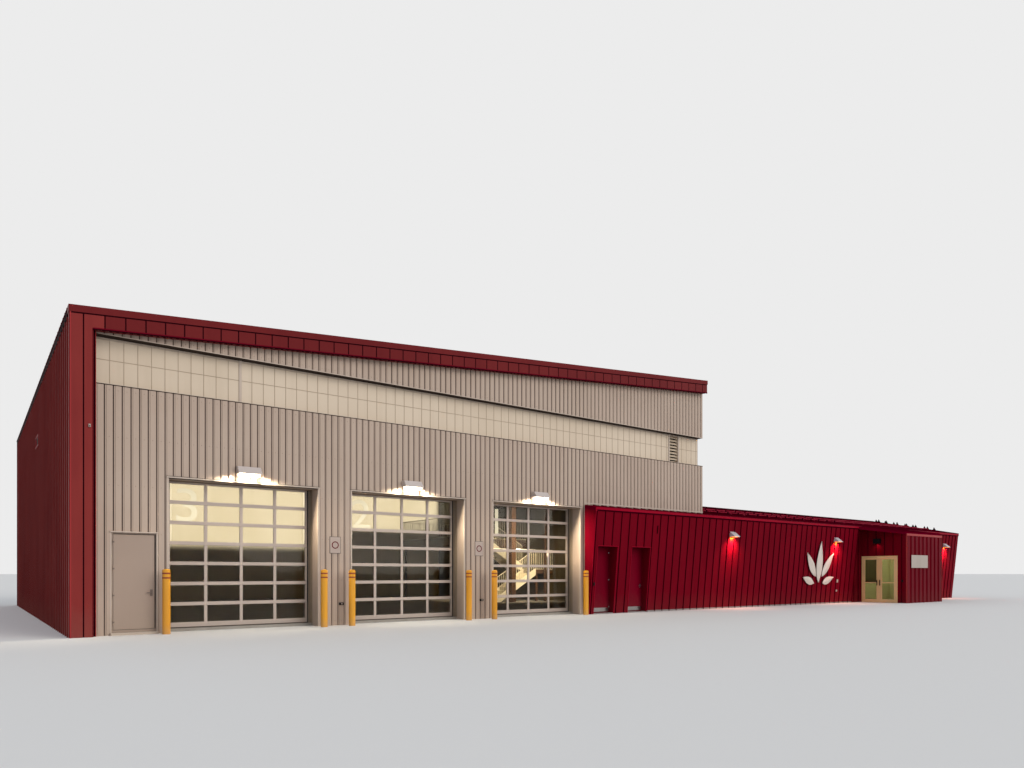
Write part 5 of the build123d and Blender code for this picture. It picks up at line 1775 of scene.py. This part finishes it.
@dataclass
class Bollards(Assembly):
    """Yellow sleeves with a domed top and two dark red bands."""

    radius: float = 0.046
    height: float = 0.79
    places: tuple[Span, ...] = ((1.0, -0.17), (2.99, -0.195), (3.4, -0.195), (5.365, -0.2), (5.85, -0.205),
                                (7.86, -0.185))
    bands: tuple[Span, ...] = ((0.672, 0.69), (0.727, 0.744))
    tape: float = 0.0008
    crown: float = 0.02
    crown_steps: int = 8
    sides: int = 32

    def add(self) -> None:
        """Build the six posts."""
        radius, steps, dome = self.radius, self.crown_steps, self.height - self.crown
        profile, slots = [(0.0, 0.0), (radius, 0.0)], [0]
        for low, high in self.bands:
            taped = radius + self.tape
            profile += [(radius, low), (taped, low), (taped, high), (radius, high)]
            slots += [0, 1, 1, 1]
        for step in range(steps + 1):
            angle = math.radians(90 * step / steps)
            profile.append((radius * math.cos(angle) if step < steps else 0.0,
                            dome + self.crown * math.sin(angle)))
            slots.append(0)
        posts = MeshBuilder()
        for place in self.places:
            posts.turned(profile, (*place, 0.0), self.sides, slots)
        made = self.place(posts, "bollard_sleeves", "bollard_yellow", YELLOW, BAND_RED, smooth=True)
        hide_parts("bollards")


@dataclass
class Interior(Assembly):
    """The lit stair and deck behind the right bay, and the light in the hall."""

    tubes: tuple[Extent, ...] = (Extent(10.15, 10.45, 5.93, 5.97, 1.383, 1.397),
                                 Extent(10.8, 11.1, 5.93, 5.97, 1.383, 1.397))
    beams: tuple[Beam, ...] = (
        Beam("under_deck_light", (10.1, 5.6, 1.36), (1.6, 1.2), 12.0),
        Beam("right_reveal_light", (7.3, 0.12, 1.1), (1.1, 0.08), 3.0, (1.0, 0.84, 0.6), (1.0, -0.1, -0.1),
             110.0),
        Beam("stair_light", (9.2, 2.4, 3.0), (0.8, 0.8), 34.0, aim=(0.9, 2.6, -2.1), spread=50.0),
        Beam("left_back_wall_light", (4.95, 10.1, 2.3), (4.3, 1.7), 30.0, COOL, INWARD, 80.0),
        Beam("right_back_wall_light", (9.5, 10.1, 2.6), (3.2, 1.1), 14.5, COOL, INWARD, 80.0),
        Beam("entrance_light", (18.4, -0.55, 1.6), (1.0, 0.7), 12.0, (1.0, 0.9, 0.66)),
        Beam("lamp_box_light", (17.46, -0.57, 1.487), (0.05, 0.12), 0.3, (1.0, 0.6, 0.45), (0.3, 0.0, -1.0),
             130.0))

    def add(self) -> None:
        """Dress the stair and light the hall."""
        dress(("mezzanine_deck", "mezzanine_columns"), BROWN)
        dress(("stair_flights", "stair_rails"), STAIR)
        self.boxes([(tube.x, tube.y, tube.z) for tube in self.tubes],
                   "deck_strip_lamps", "lamp_metal", TUBE)
        for beam in self.beams:
            beam.hang()


@dataclass
class Stage:
    """Floor, sky, sun and camera."""

    floor_half: float = 900.0
    sky: Colour = srgb(236, 236, 236)
    cool_sky: Colour = srgb(232, 238, 248)
    ground: Colour = srgb(222, 220, 216)
    ground_roughness: float = 0.9
    ground_specular: float = 0.1
    sky_light: float = 0.8
    sun_power: float = 1.65
    sun_width: float = 40.0
    sun_colour: Triple = (1.0, 0.95, 0.88)
    sun_from: Triple = (0.5, -1.0, 0.38)
    eye: Triple = (-0.93, -9.705, 0.735)
    heading: float = -36.9
    focal_pixels: float = 726.0
    horizon: float = 573.4
    sensor: float = 36.0
    picture: tuple[int, int] = (1024, 768)

    def floor(self) -> None:
        """Lay a plain floor that keeps the building's shadow."""
        shape, half = MeshBuilder(), self.floor_half
        shape.face([shape.corner((x, y, 0.0))
                    for x, y in ((-half, -half), (half, -half), (half, half), (-half, half))])
        material = bpy.data.materials.new("pale_floor")
        material.use_nodes = True
        tree = material.node_tree
        feed(tree, tree.nodes["Principled BSDF"], {
            "Base Color": self.ground, "Roughness": self.ground_roughness,
            "Specular IOR Level": self.ground_specular})
        made = shape.build("floor", [material])

    def world(self) -> None:
        """Show a pale sky to the camera and to reflections, and light with a softer one."""
        world = bpy.data.worlds.new("pale_sky")
        world.use_nodes = True
        bpy.context.scene.world = world
        tree = world.node_tree
        tree.nodes.clear()
        path = add_node(tree, "ShaderNodeLightPath").outputs
        seen = calculate(tree, "MAXIMUM", path["Is Camera Ray"], path["Is Glossy Ray"])
        seen = calculate(tree, "MAXIMUM", seen, path["Is Transmission Ray"])
        shown = add_node(tree, "ShaderNodeBackground", {"Color": self.sky, "Strength": 1.0})
        lit = add_node(tree, "ShaderNodeBackground", {"Color": self.cool_sky, "Strength": self.sky_light})
        mixed = add_node(tree, "ShaderNodeMixShader", {0: seen, 1: lit.outputs[0], 2: shown.outputs[0]})
        add_node(tree, "ShaderNodeOutputWorld", {0: mixed.outputs[0]})

    def sun(self) -> None:
        """Hang a soft sun over the front."""
        light = bpy.data.lights.new("soft_sun", "SUN")
        light.energy, light.color = self.sun_power, self.sun_colour
        light.angle = math.radians(self.sun_width)
        lamp = bpy.data.objects.new("soft_sun", light)
        lamp.visible_glossy = False
        lamp.rotation_euler = Vector(self.sun_from).to_track_quat("Z", "Y").to_euler()
        bpy.context.scene.collection.objects.link(lamp)

    def camera(self) -> None:
        """Stand the camera where the photo was taken."""
        wide, high = self.picture
        data = bpy.data.cameras.new("photo_camera")
        data.sensor_fit, data.sensor_width = "HORIZONTAL", self.sensor
        data.lens = self.focal_pixels * data.sensor_width / wide
        data.shift_y = (self.horizon - high / 2) / wide
        data.clip_end = 4 * self.floor_half
        camera = bpy.data.objects.new("photo_camera", data)
        camera.location = self.eye
        camera.rotation_euler = (math.radians(90), 0.0, math.radians(self.heading))
        bpy.context.scene.collection.objects.link(camera)
        bpy.context.scene.camera = camera

    def add(self) -> None:
        """Set the whole stage."""
        bpy.context.scene.view_settings.view_transform = "Standard"
        self.floor()
        self.world()
        self.sun()
        self.camera()


def main() -> None:
    """Dress the frame, build every sub-assembly and set the stage."""
    logging.basicConfig(level=logging.INFO, format="%(name)s %(message)s")
    layout = Layout()
    for assembly in (HallCladding, CornerFrame, Clerestory, BayDoors, ManDoor, AnnexCladding, AnnexRoof,
                     Entrance, Fixtures, Lamps, Bollards, Interior):
        assembly(layout).add()
        LOG.info("%s finished", assembly.__name__)
    Stage().add()


if __name__ == "__main__":
    main()
